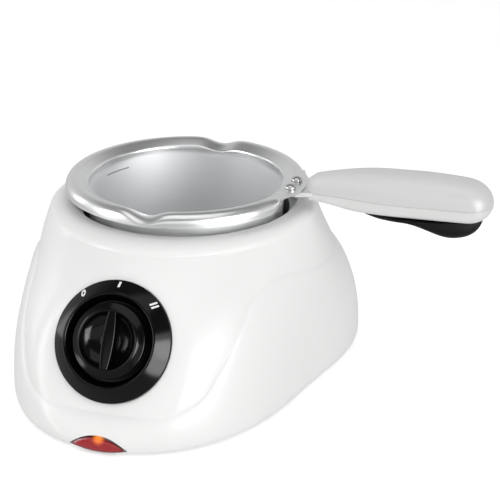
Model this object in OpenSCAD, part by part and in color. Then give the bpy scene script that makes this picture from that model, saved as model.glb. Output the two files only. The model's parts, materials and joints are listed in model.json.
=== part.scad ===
// Electric chocolate melting pot: a moulded heating base with a lift-out steel pot on a side handle.
// Millimetres, +Z up. The origin lies on the pot's axis, on the table; the dial faces -Y, the handle +X.

/* [Housing] */
// Height of the housing's top above the table
housing_h = 83; // [76:1:92]
// Reach of the housing to the front, at its widest level
front_reach = 123; // [118:1:128]
// Reach of the housing to either side
side_reach = 82; // [79:1:88]
// Reach of the housing at its rounded back corners
corner_reach = 91.5; // [88:0.5:96]
// Reach of the housing to the back
back_reach = 88; // [85:1:94]
// Width of the housing's shoulder round the opening
shoulder_w = 10; // [8:0.5:13]
// Gap between the pot's inner wall and the edge of the opening
pot_gap = 7.1; // [6.6:0.1:8.6]
// Thickness of the housing's wall
wall_t = 3; // [2:0.25:3.5]
// Height of the widest level above the table
widest_z = 6.4; // [5:0.2:9]
// How far the wall tucks in below the widest level
tuck = 4; // [2:0.5:6]
// Step in the wall under the moulded cape line
crease_step = 1.6; // [0.5:0.1:2.4]
// Thickness of the base plate
plate_t = 2.5; // [2:0.25:3]
// Height of the feet below the housing's lower edge
foot_gap = 1.5; // [1:0.25:2.5]

/* [Dial] */
// Radius of the fixed dial plate
dial_r = 28.5; // [26:0.5:30]
// Distance of the dial's centre behind the housing's front
dial_setback = 23.6; // [22:0.2:26]
// Depth of the dial's centre below the housing's top
dial_drop = 36.5; // [34:0.5:39]
// Angle by which the dial's face leans back
dial_tilt = 29; // [26:0.5:31]
// Angle between two settings of the switch
setting_step = 40; // [30:1:45]
// Radius of the knob's skirt
knob_r = 17.6; // [16:0.2:18]
// Width of the knob's grip bar
bar_w = 5; // [4:0.25:6.5]
// Height of the grip bar above the dial's seat
bar_h = 8.5; // [7.5:0.25:10]
// Radius of the switch shaft
shaft_r = 3; // [2.5:0.1:3.2]

/* [Pot] */
// Inner radius of the pot at its rim
pot_r = 48.9; // [46:0.1:49.2]
// Height of the pot's inner edge above the housing's top
pot_stand = 9.4; // [8:0.2:12]
// Amount by which the pot's wall draws in from its rim to its floor
pot_taper = 2.4; // [1.4:0.1:5]
// Thickness of the pot's sheet steel
sheet_t = 0.9; // [0.7:0.1:1.2]
// Width of the pot's lip, from the pot's inner wall to its outer roll
lip_w = 11.4; // [10.4:0.1:13]
// How far the lip's crest stands above the pot's inner edge
lip_rise = 2.4; // [1.8:0.1:3]
// Radius of the lip's outer roll, seen in section
lip_roll = 4.7; // [4:0.1:5.2]
// Radius of a pouring spout's trough
spout_r = 8; // [6:0.25:9]
// Depth of a spout below the lip's crest
spout_depth = 3.2; // [2.6:0.1:3.6]

/* [Handle] */
// Length of the handle along the ground, from its neck to its free end
handle_span = 87; // [76:1:102]
// Distance of the handle's neck from the pot's lip
neck_gap = 7.7; // [7:0.1:12]
// Half width of the handle at its neck
neck_half = 6; // [5.6:0.2:7]
// Half width of the handle where it is widest
grip_half = 12.4; // [11:0.2:16]
// Height of the parting line above the bracket's lower face, at the neck
parting_lift = 1.3; // [0.9:0.1:1.7]
// Angle by which the handle rises to its end
handle_rise = 1.4; // [0:0.2:4]
// Height of the handle's upper shell where it is highest
dome_h = 13.6; // [12:0.2:15]
// Height of the handle's lower shell
lower_h = 7.6; // [6.4:0.2:9]
// Depth of the soft grip below the lower shell
grip_depth = 9.6; // [6:0.2:12]
// Wall of the handle's shells
handle_wall = 2; // [1.5:0.1:2.4]

/* [Heater] */
// Radius of the heating plate
heat_plate_r = 42; // [38:0.5:43]
// Thickness of the heating plate
heat_plate_t = 6; // [5:0.25:7]
// Outer radius of the ring heater
element_r = 34; // [31:0.5:36]
// Thickness of the ring heater
element_t = 4; // [3:0.25:5]

/* [Hidden] */

$fn = 72;
// Overrun of a cut past the face that it opens
over = 1;
// Clearance between parts that are put together by hand
fit = 0.3;
// Radial clearance of a shaft that turns in its bearing
run_fit = 0.06;

// Sizes that follow the pot and the housing
opening_r = pot_r + pot_gap;
shoulder_r = opening_r + shoulder_w;
pot_floor_r = pot_r - pot_taper;
lip_reach = pot_r + lip_w;
pot_top = housing_h + pot_stand;
dial_out = front_reach - dial_setback;
dial_z = housing_h - dial_drop;
handle_start = lip_reach + neck_gap;
handle_end = handle_start + handle_span;

// Housing form
columns = 72;
top_fillet = 4;
face_blend = 4;
crease_fade = 0.6;
crease_above = 12;
crease_below = 2;
ledge_drop = 7;
ledge_z = housing_h - ledge_drop;
ledge_t = 2;
ledge_w = 2.4;
ledge_r = opening_r - ledge_w;
collar_t = 3;
collar_bottom = ledge_z - ledge_t;
bell_share = 2.38;
front_power_share = 1;
side_power_share = 0.8;
back_power_share = 1.8;
// Angles from the front at which the side's and the back's form set in, and over which they blend
side_from = 25;
back_from = 75;
zone_span = 50;
// Angle of the panel's corner, where the cape line fades, and the spread of the fading
fade_at = 34;
fade_span = 6;
cos_least = 0.2;
// Height of the cape line round the housing: angle from the front, share of the housing's height
cape_line_shares = [[0, 0.205], [12, 0.215], [18, 0.24], [24, 0.31], [28, 0.42], [33, 0.54],
    [38, 0.65], [42, 0.715], [48, 0.76], [55, 0.77], [62, 0.76], [70, 0.73], [80, 0.70],
    [90, 0.687], [111, 0.663], [140, 0.65], [180, 0.65]];
// Levels of the housing's wall, as shares of the stretch that each list covers
tuck_shares = [0, 0.12, 0.4, 0.7, 1];
lower_shares = [0.25, 0.5, 0.75, 1];
upper_shares = [0.12, 0.26, 0.4, 0.54, 0.68, 0.8, 0.9, 1];
fillet_angles = [25, 50, 72, 90];
inner_shares = [1, 0.93, 0.84, 0.72, 0.58, 0.42, 0.26, 0.1, 0];

// Footprint as a sum of cosines that passes through the four reaches
mean_fb = (front_reach + back_reach) / 2;
half_fb = (front_reach - back_reach) / 2;
foot_0 = (mean_fb + side_reach) / 2;
foot_2 = (mean_fb - side_reach) / 2;
corner_rest = corner_reach - foot_0 + foot_2 / 2;
foot_1 = (half_fb - corner_rest) * 2 / 3;
foot_3 = half_fb - foot_1;

function footprint(a) = foot_0 + foot_1 * cos(a) + foot_2 * cos(2 * a) + foot_3 * cos(3 * a);
function clamp(x, lo, hi) = min(max(x, lo), hi);
function ease(x) = let(t = clamp(x, 0, 1)) t * t * (3 - 2 * t);
// Angle from the front, the same on both sides
function away(a) = abs(a > 180 ? a - 360 : a);
function bell_power(a) = front_power_share
    + (side_power_share - front_power_share) * ease((away(a) - side_from) / zone_span)
    + (back_power_share - side_power_share) * ease((away(a) - back_from) / zone_span);
function cape_z(a) = housing_h * lookup(away(a), cape_line_shares);

// Radius of the bell-shaped body, of the flat dial panel, and of the two blended together
function bell(a, z) = let(u = clamp((z - widest_z) / (housing_h - widest_z), 0, 1))
    shoulder_r + (footprint(a) - shoulder_r) * pow(max(1 - pow(u, bell_share), 0), bell_power(a));
function panel(a, z) = (dial_out - (z - dial_z) * tan(dial_tilt)) / max(cos(a), cos_least);
function soft_min(p, q, k) = let(h = clamp((1 + (p - q) / k) / 2, 0, 1))
    p + (q - p) * h - k * h * (1 - h);
function cape_cut(a, z) = let(s = z - cape_z(a))
    crease_step * (1 - crease_fade * exp(-pow((away(a) - fade_at) / fade_span, 2)))
    * (s > 0 ? exp(-s / crease_above) : exp(s / crease_below));
function tuck_in(z) = let(t = clamp(1 - z / widest_z, 0, 1)) tuck * (1 - sqrt(1 - t * t));
function side_r(a, z) = soft_min(panel(a, z), bell(a, z), face_blend) - cape_cut(a, z) - tuck_in(z);

// Points of the wall from its lower edge to the top, and back down inside, in one vertical plane
function level_list(a) = let(low = widest_z, cape = cape_z(a), high = housing_h - top_fillet) concat(
    [for (s = tuck_shares) foot_gap + (low - foot_gap) * s],
    [for (s = lower_shares) low + (cape - 2 * crease_below - low) * s],
    [cape - crease_below, cape - crease_below / 3, cape, cape + crease_below],
    [for (s = upper_shares) cape + crease_below + (high - cape - crease_below) * s]);
function outer_wall(a) = let(high = housing_h - top_fillet, r = side_r(a, high)) concat(
    [for (z = level_list(a)) [side_r(a, z), z]],
    [for (t = fillet_angles) [r - (r - shoulder_r + top_fillet) * (1 - cos(t)), high + top_fillet * sin(t)]]);
collar_in = ledge_r - over;
collar_out = opening_r + collar_t;
ceiling_z = housing_h - wall_t;
function collar_points() = [[collar_in, housing_h], [collar_in, collar_bottom],
    [collar_out, collar_bottom], [collar_out, ceiling_z]];
function inner_r(a, z) = max(side_r(a, min(z, housing_h - top_fillet)) - wall_t, collar_out + wall_t / 2);
function inner_wall(a) = [for (s = inner_shares)
    let(z = foot_gap + (ceiling_z - foot_gap) * s) [inner_r(a, z), z]];
function wall_section(a) = concat(outer_wall(a), collar_points(), inner_wall(a));
// A point of a section, turned to its place round the axis; angle 0 is the front
function turned(p, a) = [p[0] * sin(a), -p[0] * cos(a), p[1]];

// Closed solid from loops of points; both directions close on themselves
module ring_solid(loops) {
    m = len(loops);
    n = len(loops[0]);
    polyhedron(
        points = [for (l = loops) for (p = l) p],
        faces = [for (i = [0 : m - 1]) for (j = [0 : n - 1])
            let(i2 = (i + 1) % m, j2 = (j + 1) % n)
            each [[i * n + j, i * n + j2, i2 * n + j2], [i * n + j, i2 * n + j2, i2 * n + j]]],
        convexity = 8);
}

// Closed solid from two sheets of points with the same counts, joined round their edges
module sheet_solid(outer, inner) {
    m = len(outer);
    n = len(outer[0]);
    back = m * n;
    function o(i, j) = i * n + j;
    function q(i, j) = back + i * n + j;
    polyhedron(
        points = concat([for (r = outer) for (p = r) p], [for (r = inner) for (p = r) p]),
        faces = concat(
            [for (i = [0 : m - 2]) for (j = [0 : n - 2])
                each [[o(i, j), o(i + 1, j), o(i + 1, j + 1)], [o(i, j), o(i + 1, j + 1), o(i, j + 1)]]],
            [for (i = [0 : m - 2]) for (j = [0 : n - 2])
                each [[q(i, j), q(i + 1, j + 1), q(i + 1, j)], [q(i, j), q(i, j + 1), q(i + 1, j + 1)]]],
            [for (i = [0 : m - 2]) each [
                [o(i, 0), q(i + 1, 0), o(i + 1, 0)], [o(i, 0), q(i, 0), q(i + 1, 0)],
                [o(i, n - 1), o(i + 1, n - 1), q(i + 1, n - 1)],
                [o(i, n - 1), q(i + 1, n - 1), q(i, n - 1)]]],
            [for (j = [0 : n - 2]) each [
                [o(0, j), o(0, j + 1), q(0, j + 1)], [o(0, j), q(0, j + 1), q(0, j)],
                [o(m - 1, j), q(m - 1, j + 1), o(m - 1, j + 1)],
                [o(m - 1, j), q(m - 1, j), q(m - 1, j + 1)]]]),
        convexity = 8);
}

// Screw bosses of the housing: angle from the front
boss_angles = [38, 142, 218, 322];
boss_r = 5;
boss_inset = 15;
boss_top = housing_h / 2;
rib_shares = [0, 0.25, 0.5, 0.75, 1];
rib_t = 2.4;
screw_r = 1.6;
screw_len = 14;
screw_head_r = 3.2;
screw_head_h = 2;
plate_recess = 0.8;
plate_z = foot_gap + plate_recess;
plate_top = plate_z + plate_t;
function boss_out(a) = footprint(a) - boss_inset;
module at_bosses() {
    for (a = boss_angles) translate([boss_out(a) * sin(a), -boss_out(a) * cos(a), 0]) children();
}

// Dial frame: z runs out along the shaft, y runs up the face
module on_dial() {
    translate([0, -dial_out, dial_z]) rotate([90 - dial_tilt, 0, 0]) children();
}
seat_depth = 1.2;
neck_wall = 1.9;
neck_r = shaft_r + neck_wall;
neck_hole_r = neck_r + fit;
panel_t = wall_t * cos(dial_tilt);
bezel_screw_share = 0.82;
bezel_screw_out = dial_r * bezel_screw_share;
bezel_screw_r = 1.2;
bezel_screw_angles = [0, 180];
edge_t = 1;
flange_w = 5.3;
crest_r = dial_r - flange_w;
crest_h = 4.6;
crest_w = 0.8;
knob_gap = 1.6;
dish_r = knob_r + knob_gap;
dish_floor = 1.2;
bezel_hole_r = 9.6;
skin_t = 1.4;

// Indicator lens at the foot of the front wall
lens_half = 14.2;
lens_tip_z = 2.8;
lens_rise = 6.4;
lens_sag = 1.9;
lens_top_z = lens_tip_z + lens_rise;
lens_low_z = lens_tip_z - lens_sag;
function lens_arc_r(rise) = (lens_half * lens_half + rise * rise) / (2 * rise);
lens_t = 2.4;
lens_proud = 0.3;
lens_span_angle = 11;
lens_columns = 12;
lens_levels = 8;
module lens_prism(shrink) {
    intersection() {
        translate([0, -front_reach / 2, lens_top_z - lens_arc_r(lens_rise)]) rotate([90, 0, 0])
            cylinder(r = lens_arc_r(lens_rise) - shrink, h = front_reach, $fn = 96);
        translate([0, -front_reach / 2, lens_low_z + lens_arc_r(lens_sag)]) rotate([90, 0, 0])
            cylinder(r = lens_arc_r(lens_sag) - shrink, h = front_reach, $fn = 240);
    }
}

// Cord gland at the back
gland_z = 16;
gland_r = 6.2;
gland_flange_r = 8.5;
gland_flange_t = 2.4;
gland_bore_r = 3.4;
gland_seat = side_r(180, widest_z);
gland_gap = 5 * fit;
gland_lock = 1.5;
gland_inner_r = gland_r + gland_lock;
gland_tail = 9;

module wall_patch(a_half, z_low, z_high, proud, depth) {
    as = [for (i = [0 : lens_columns]) -a_half + 2 * a_half * i / lens_columns];
    zs = [for (i = [0 : lens_levels]) z_low + (z_high - z_low) * i / lens_levels];
    sheet_solid(
        [for (a = as) [for (z = zs) turned([side_r(a, z) + proud, z], a)]],
        [for (a = as) [for (z = zs) turned([side_r(a, z) + proud - depth, z], a)]]);
}

module housing_shell() {
    ring_solid([for (i = [0 : columns - 1]) let(a = i * 360 / columns)
        [for (p = wall_section(a)) turned(p, a)]]);
}

module boss_rib(a) {
    levels = [for (s = rib_shares) plate_top + fit + (boss_top - plate_top - fit) * s];
    outline = concat([[boss_out(a), levels[len(levels) - 1]], [boss_out(a), levels[0]]],
        [for (z = levels) [side_r(a, z) - wall_t / 2, z]]);
    rotate([0, 0, a - 90]) translate([0, rib_t / 2, 0]) rotate([90, 0, 0])
        linear_extrude(rib_t) polygon(outline);
}

module housing() color("whitesmoke") {
    difference() {
        union() {
            housing_shell();
            at_bosses() translate([0, 0, plate_top + fit])
                cylinder(r = boss_r, h = boss_top - plate_top - fit);
            for (a = boss_angles) boss_rib(a);
        }
        translate([0, 0, ledge_z]) cylinder(r = opening_r, h = housing_h - ledge_z + over, $fn = 120);
        translate([0, 0, collar_bottom - over]) cylinder(r = ledge_r, h = ledge_t + 2 * over, $fn = 120);
        at_bosses() translate([0, 0, plate_z]) cylinder(r = screw_r, h = screw_len + over);
        ring_screw_places() translate([0, 0, collar_bottom - over])
            cylinder(r = ring_screw_r, h = ring_screw_bite + over, $fn = 24);
        on_dial() {
            translate([0, 0, -seat_depth]) cylinder(r = dial_r + fit / 2, h = bar_h, $fn = 96);
            translate([0, 0, -wall_t - 2 * over]) cylinder(r = neck_hole_r, h = wall_t + 3 * over);
            for (a = bezel_screw_angles) rotate([0, 0, a]) translate([bezel_screw_out, 0, -2 * wall_t])
                cylinder(r = bezel_screw_r + fit, h = 3 * wall_t, $fn = 24);
        }
        lens_prism(0);
        translate([0, gland_seat - 2 * wall_t, gland_z]) rotate([-90, 0, 0])
            cylinder(r = gland_r + fit / 2, h = 4 * wall_t);
    }
}

// Base plate, feet and screws
foot_r = 7;
foot_seat = 1;
foot_clear = 2.2;
foot_inset = tuck + wall_t + foot_clear + foot_r;
foot_angles = [14, 108, 252, 346];
function foot_out(a) = footprint(a) - foot_inset;
module at_feet() {
    for (a = foot_angles) translate([foot_out(a) * sin(a), -foot_out(a) * cos(a), 0]) children();
}
vent_w = 3;
vent_len = 26;
vent_count = 5;
vent_pitch = 8;

module base_plate() color("white") {
    difference() {
        translate([0, 0, plate_z]) linear_extrude(plate_t)
            polygon([for (i = [0 : columns - 1])
                let(a = i * 360 / columns, r = side_r(a, foot_gap) - wall_t - fit)
                [r * sin(a), -r * cos(a)]]);
        at_bosses() translate([0, 0, plate_z - over])
            cylinder(r = screw_r + fit, h = plate_t + 2 * over, $fn = 32);
        at_bosses() translate([0, 0, plate_z - over])
            cylinder(r = screw_head_r + fit, h = over + plate_t / 2, $fn = 32);
        at_feet() translate([0, 0, plate_z - over]) cylinder(r = foot_r, h = foot_seat + over, $fn = 48);
        for (i = [0 : vent_count - 1])
            translate([(i - (vent_count - 1) / 2) * vent_pitch - vent_w / 2, -vent_len / 2, plate_z - over])
                cube([vent_w, vent_len, plate_t + 2 * over]);
    }
}

module rubber_feet() color("dimgray") {
    at_feet() rotate_extrude($fn = 48) polygon([[0, 0], [foot_r - foot_seat, 0], [foot_r, foot_seat],
        [foot_r, plate_z + foot_seat], [0, plate_z + foot_seat]]);
}

// A screw with its head down, its head's upper face at z = 0, with a cross slot in shares of the head
slot_len_share = 1.2;
slot_w_share = 0.26;
module screw_up(r, len, head_r, head_h) {
    difference() {
        union() {
            translate([0, 0, -head_h]) cylinder(r = head_r, h = head_h, $fn = 32);
            cylinder(r = r, h = len, $fn = 24);
        }
        for (a = [0, 90]) rotate([0, 0, a])
            translate([-head_r * slot_len_share / 2, -head_r * slot_w_share / 2, -head_h - over])
            cube([head_r * slot_len_share, head_r * slot_w_share, over + head_h / 2]);
    }
}

module base_screws() color("silver") {
    at_bosses() translate([0, 0, plate_z + plate_t / 2])
        screw_up(screw_r, screw_len - plate_t, screw_head_r, plate_t / 2);
}

// Heating well, hung by its rim on the housing's ledge
well_t = 1;
well_rim_t = 1.2;
well_rim_r = opening_r - fit;
well_r = ledge_r - fit;
well_floor_z = 31;
well_fillet = 4;
floor_top = well_floor_z + well_rim_t;
stud_count = 3;
stud_out = 24;
stud_r = 2;
stud_turn = 30;
module at_studs() {
    for (i = [0 : stud_count - 1]) rotate([0, 0, stud_turn + i * 360 / stud_count])
        translate([stud_out, 0, 0]) children();
}
corner_steps = 5;
function corner(cx, cz, r, from, to) = [for (i = [0 : corner_steps])
    let(t = from + (to - from) * i / corner_steps) [cx + r * cos(t), cz + r * sin(t)]];

module heating_well() color("lightgray") {
    difference() {
        rotate_extrude($fn = 120) polygon(concat(
            [[0, well_floor_z]],
            corner(well_r - well_fillet, well_floor_z + well_fillet, well_fillet, 270, 360),
            [[well_r, ledge_z], [well_rim_r, ledge_z], [well_rim_r, ledge_z + well_rim_t],
             [well_r - well_t, ledge_z + well_rim_t]],
            corner(well_r - well_fillet, well_floor_z + well_fillet + well_rim_t - well_t,
                well_fillet - well_t, 360, 270),
            [[0, floor_top]]));
        at_studs() translate([0, 0, well_floor_z - over])
            cylinder(r = stud_r + fit, h = well_rim_t + 2 * over, $fn = 32);
    }
}

// Ring round the well, screwed under the housing's collar
ring_t = 2.4;
ring_screw_r = 1.1;
ring_screw_bite = 5;
ring_screw_out = opening_r + collar_t / 2;
ring_ear_r = 4.5;
ring_screw_count = 3;
head_r_share = 2;
head_h_share = 1.3;
ring_z = collar_bottom - ring_t;
module ring_screw_places() {
    for (i = [0 : ring_screw_count - 1]) rotate([0, 0, 90 + i * 360 / ring_screw_count])
        translate([ring_screw_out, 0, 0]) children();
}
module well_ring() color("gainsboro") {
    difference() {
        union() {
            translate([0, 0, ring_z]) cylinder(r = collar_out, h = ring_t, $fn = 120);
            translate([0, 0, ring_z]) ring_screw_places() cylinder(r = ring_ear_r, h = ring_t, $fn = 32);
        }
        translate([0, 0, ring_z - over]) cylinder(r = well_r + fit, h = ring_t + 2 * over, $fn = 120);
        ring_screw_places() translate([0, 0, ring_z - over])
            cylinder(r = ring_screw_r + fit / 2, h = ring_t + 2 * over, $fn = 24);
    }
}
module ring_screws() color("silver") {
    ring_screw_places() translate([0, 0, ring_z])
        screw_up(ring_screw_r, ring_t + ring_screw_bite - over, ring_screw_r * head_r_share,
            ring_screw_r * head_h_share);
}

// Heating stack under and in the well
plate_fillet = 1;
heat_top = floor_top + heat_plate_t;
element_z = well_floor_z - element_t;
element_hole = 12;
disc_t = 3;
disc_z = element_z - disc_t;
clamp_t = 1.5;
clamp_z = disc_z - clamp_t;
stud_tail = 5;
stud_end = clamp_z - stud_tail;
nut_h = 3.2;
nut_r = 4;
groove_count = 2;
groove_w = 1.5;
module heater_plate() color("darkgray") {
    difference() {
        rotate_extrude($fn = 120) polygon([[0, floor_top], [heat_plate_r, floor_top],
            [heat_plate_r, heat_top - plate_fillet], [heat_plate_r - plate_fillet, heat_top], [0, heat_top]]);
        for (i = [1 : groove_count]) translate([0, 0, heat_top - groove_w / 2]) difference() {
            cylinder(r = heat_plate_r * i / (groove_count + 1) + groove_w, h = groove_w, $fn = 96);
            translate([0, 0, -over]) cylinder(r = heat_plate_r * i / (groove_count + 1),
                h = groove_w + 2 * over, $fn = 96);
        }
    }
    at_studs() translate([0, 0, stud_end])
        cylinder(r = stud_r, h = floor_top - stud_end + over / 2, $fn = 32);
}
module disc_with_studs(r, hole, z, t) {
    difference() {
        translate([0, 0, z]) cylinder(r = r, h = t, $fn = 96);
        translate([0, 0, z - over]) cylinder(r = hole, h = t + 2 * over);
        at_studs() translate([0, 0, z - over]) cylinder(r = stud_r + fit, h = t + 2 * over, $fn = 32);
    }
}
tab_w = 5;
tab_len = 9;
tab_t = 0.8;
tab_spread = 9;
tab_z = element_z + element_t / 2;
module heater_element() color("tan") {
    disc_with_studs(element_r, element_hole, element_z, element_t);
    for (s = [-1, 1]) translate([s * tab_spread - tab_w / 2, element_r - tab_t, tab_z])
        cube([tab_w, tab_len + tab_t, tab_t]);
}
module insulation_disc() color("wheat") disc_with_studs(element_r, element_hole, disc_z, disc_t);
module clamp_plate() color("silver") {
    difference() {
        disc_with_studs(element_r, element_hole, clamp_z, clamp_t);
        for (s = [-1, 1]) translate([s * bracket_hole_out, 0, clamp_z - over])
            cylinder(r = small_screw_r, h = clamp_t + 2 * over, $fn = 24);
        translate([0, clip_out, clamp_z - over])
            cylinder(r = small_screw_r, h = clamp_t + 2 * over, $fn = 24);
    }
}
module clamp_nuts() color("gray") {
    at_studs() translate([0, 0, clamp_z - nut_h]) difference() {
        cylinder(r = nut_r, h = nut_h, $fn = 6);
        translate([0, 0, -over]) cylinder(r = stud_r, h = nut_h + 2 * over, $fn = 32);
    }
}

// Thermostat and thermal fuse
stat_r = 8;
stat_h = 9.5;
stat_neck_r = 4;
stat_neck_h = 3;
stat_z = well_floor_z - stat_h;
blade_w = 6;
blade_len = 8;
blade_t = 0.8;
small_screw_r = 1.25;
small_head_r = 2.4;
small_head_h = 1.6;
bracket_hole_out = 18;
bracket_t = 1;
bracket_w = 10;
bracket_foot = 3.4;
bracket_reach = bracket_hole_out - bracket_foot + bracket_t;
clip_out = 21;
fuse_r = 2;
fuse_len = 11;
clip_w = 6;
clip_t = 0.8;
clip_r = fuse_r + clip_t + fit / 6;
fuse_y = clip_out + small_head_r + clip_r;
fuse_z = clamp_z - clip_r;
fuse_wire = fuse_len / 3;
module thermostat() color("saddlebrown") {
    translate([0, 0, stat_z]) cylinder(r = stat_r, h = stat_h);
    translate([0, 0, stat_z - stat_neck_h]) cylinder(r = stat_neck_r, h = stat_neck_h + over);
    translate([-blade_w / 2, -stat_neck_r - blade_len, stat_z - stat_neck_h])
        cube([blade_w, 2 * (stat_neck_r + blade_len), blade_t]);
}
module thermostat_bracket() color("silver") {
    difference() {
        // Feet under the clamp plate, short legs, and a bridge that presses the thermostat's shoulder
        union() {
            for (s = [-1, 1])
                translate([s * bracket_hole_out - bracket_foot, -bracket_w / 2, clamp_z - bracket_t])
                cube([2 * bracket_foot, bracket_w, bracket_t]);
            translate([0, 0, stat_z - bracket_t]) linear_extrude(bracket_t)
                square([2 * bracket_reach, bracket_w], center = true);
            for (s = [-1, 1])
                translate([s * bracket_reach - (s + 1) / 2 * bracket_t, -bracket_w / 2, stat_z - bracket_t])
                cube([bracket_t, bracket_w, clamp_z - stat_z + bracket_t]);
        }
        translate([0, 0, -over]) cylinder(r = stat_neck_r + fit, h = clamp_z + 2 * over, $fn = 48);
        for (s = [-1, 1]) translate([s * bracket_hole_out, 0, clamp_z - bracket_t - over])
            cylinder(r = small_screw_r + fit / 2, h = bracket_t + 2 * over, $fn = 24);
    }
}
module bracket_screws() color("gray") {
    for (s = [-1, 1]) translate([s * bracket_hole_out, 0, clamp_z - bracket_t])
        screw_up(small_screw_r - fit / 6, bracket_t + clamp_t, small_head_r, small_head_h);
    translate([0, clip_out, clamp_z - clip_t])
        screw_up(small_screw_r - fit / 6, clip_t + clamp_t, small_head_r, small_head_h);
}
module thermal_fuse() color("ivory") {
    translate([-fuse_len / 2, fuse_y, fuse_z]) rotate([0, 90, 0]) {
        cylinder(r = fuse_r, h = fuse_len, $fn = 32);
        translate([0, 0, -fuse_wire]) cylinder(r = fuse_r / 4, h = fuse_len + 2 * fuse_wire, $fn = 16);
    }
}
module fuse_clip() color("silver") {
    difference() {
        union() {
            translate([-clip_w / 2, clip_out - small_head_r, clamp_z - clip_t])
                cube([clip_w, fuse_y - clip_out + small_head_r, clip_t]);
            translate([-clip_w / 2, fuse_y, fuse_z]) rotate([0, 90, 0])
                cylinder(r = clip_r, h = clip_w, $fn = 48);
        }
        translate([-clip_w, fuse_y, fuse_z]) rotate([0, 90, 0])
            cylinder(r = fuse_r + fit / 6, h = 2 * clip_w, $fn = 48);
        translate([-clip_w, fuse_y - fuse_r / 2, fuse_z - 2 * clip_r]) cube([2 * clip_w, fuse_r, 2 * clip_r]);
        translate([0, clip_out, clamp_z - clip_t - over])
            cylinder(r = small_screw_r + fit / 2, h = clip_t + 2 * over, $fn = 24);
    }
}

// Dial plate, switch and knob
bezel_post_r = 2.6;
module dial_bezel() color("black") on_dial() {
    difference() {
        union() {
            rotate_extrude($fn = 120) polygon([[bezel_hole_r, -seat_depth], [bezel_hole_r, dish_floor],
                [dish_r, dish_floor], [crest_r - crest_w, crest_h], [crest_r, crest_h], [dial_r, edge_t],
                [dial_r, -seat_depth], [dial_r - skin_t, -seat_depth], [dial_r - skin_t, edge_t - skin_t],
                [crest_r - crest_w / 2, crest_h - skin_t], [dish_r + skin_t / 2, dish_floor - skin_t],
                [bezel_hole_r + skin_t, dish_floor - skin_t], [bezel_hole_r + skin_t, -seat_depth]]);
            for (a = bezel_screw_angles) rotate([0, 0, a]) translate([bezel_screw_out, 0, -seat_depth])
                cylinder(r = bezel_post_r, h = seat_depth + crest_h - skin_t / 2, $fn = 32);
        }
        for (a = bezel_screw_angles) rotate([0, 0, a]) translate([bezel_screw_out, 0, -seat_depth - over])
            cylinder(r = bezel_screw_r, h = over + seat_depth + crest_h / 2, $fn = 24);
    }
}
module bezel_screws() color("silver") on_dial() {
    for (a = bezel_screw_angles) rotate([0, 0, a]) translate([bezel_screw_out, 0, -panel_t - 2 * fit])
        screw_up(bezel_screw_r, panel_t + crest_h / 2 - seat_depth, bezel_screw_r * head_r_share,
            bezel_screw_r * head_h_share);
}

switch_w = 24;
switch_depth = 14;
switch_cavity_r = 8.5;
cover_t = 1.6;
rotor_r = 8;
rotor_h = 6;
detent_r = 0.9;
neck_proud = 3.7;
neck_len = panel_t + neck_proud;
switch_face = -panel_t - 2 * fit;
nut_t = 2.2;
nut_wall = 3;
nut_out_r = neck_r + nut_wall;
blade_end = switch_face - switch_depth - cover_t - blade_len;
shaft_cover = 2.2;
shaft_top = bar_h - shaft_cover;
module switch_body() color("dimgray") on_dial() {
    difference() {
        union() {
            translate([-switch_w / 2, -switch_w / 2, switch_face - switch_depth])
                cube([switch_w, switch_w, switch_depth]);
            translate([0, 0, switch_face - over]) cylinder(r = neck_r, h = over + neck_len);
        }
        translate([0, 0, switch_face - switch_depth - over])
            cylinder(r = switch_cavity_r, h = rotor_h + 3 * over);
        translate([0, 0, switch_face - switch_depth])
            cylinder(r = shaft_r + run_fit, h = switch_depth + neck_len + over);
    }
}
module switch_cover() color("saddlebrown") on_dial() {
    translate([-switch_w / 2, -switch_w / 2, switch_face - switch_depth - cover_t])
        cube([switch_w, switch_w, cover_t]);
    for (s = [-1, 1]) translate([s * switch_w / 4 - blade_w / 2, -blade_t / 2, blade_end])
        cube([blade_w, blade_t, blade_len + cover_t / 2]);
}
module switch_nut() color("silver") on_dial() {
    translate([0, 0, -seat_depth]) difference() {
        cylinder(r = nut_out_r, h = nut_t, $fn = 6);
        translate([0, 0, -over]) cylinder(r = neck_r, h = nut_t + 2 * over);
    }
}
module switch_shaft() color("gainsboro") on_dial() {
    bottom = switch_face - switch_depth + fit;
    // Rotor with a detent notch for each setting
    difference() {
        translate([0, 0, bottom]) cylinder(r = rotor_r, h = rotor_h);
        for (k = [-1 : 1]) rotate([0, 0, 90 + k * setting_step]) translate([rotor_r, 0, bottom - over])
            cylinder(r = detent_r, h = rotor_h + 2 * over, $fn = 24);
    }
    difference() {
        translate([0, 0, bottom]) cylinder(r = shaft_r, h = shaft_top - bottom);
        translate([shaft_r / 2, -shaft_r, neck_len + switch_face + fit])
            cube([shaft_r, 2 * shaft_r, bar_h]);
    }
}
knob_low = dish_floor + fit;
skirt_h = 3.4;
cap_r = 14.2;
scoop_r = 11;
scoop_floor = 4.2;
knob_wall = 1.6;
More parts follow.
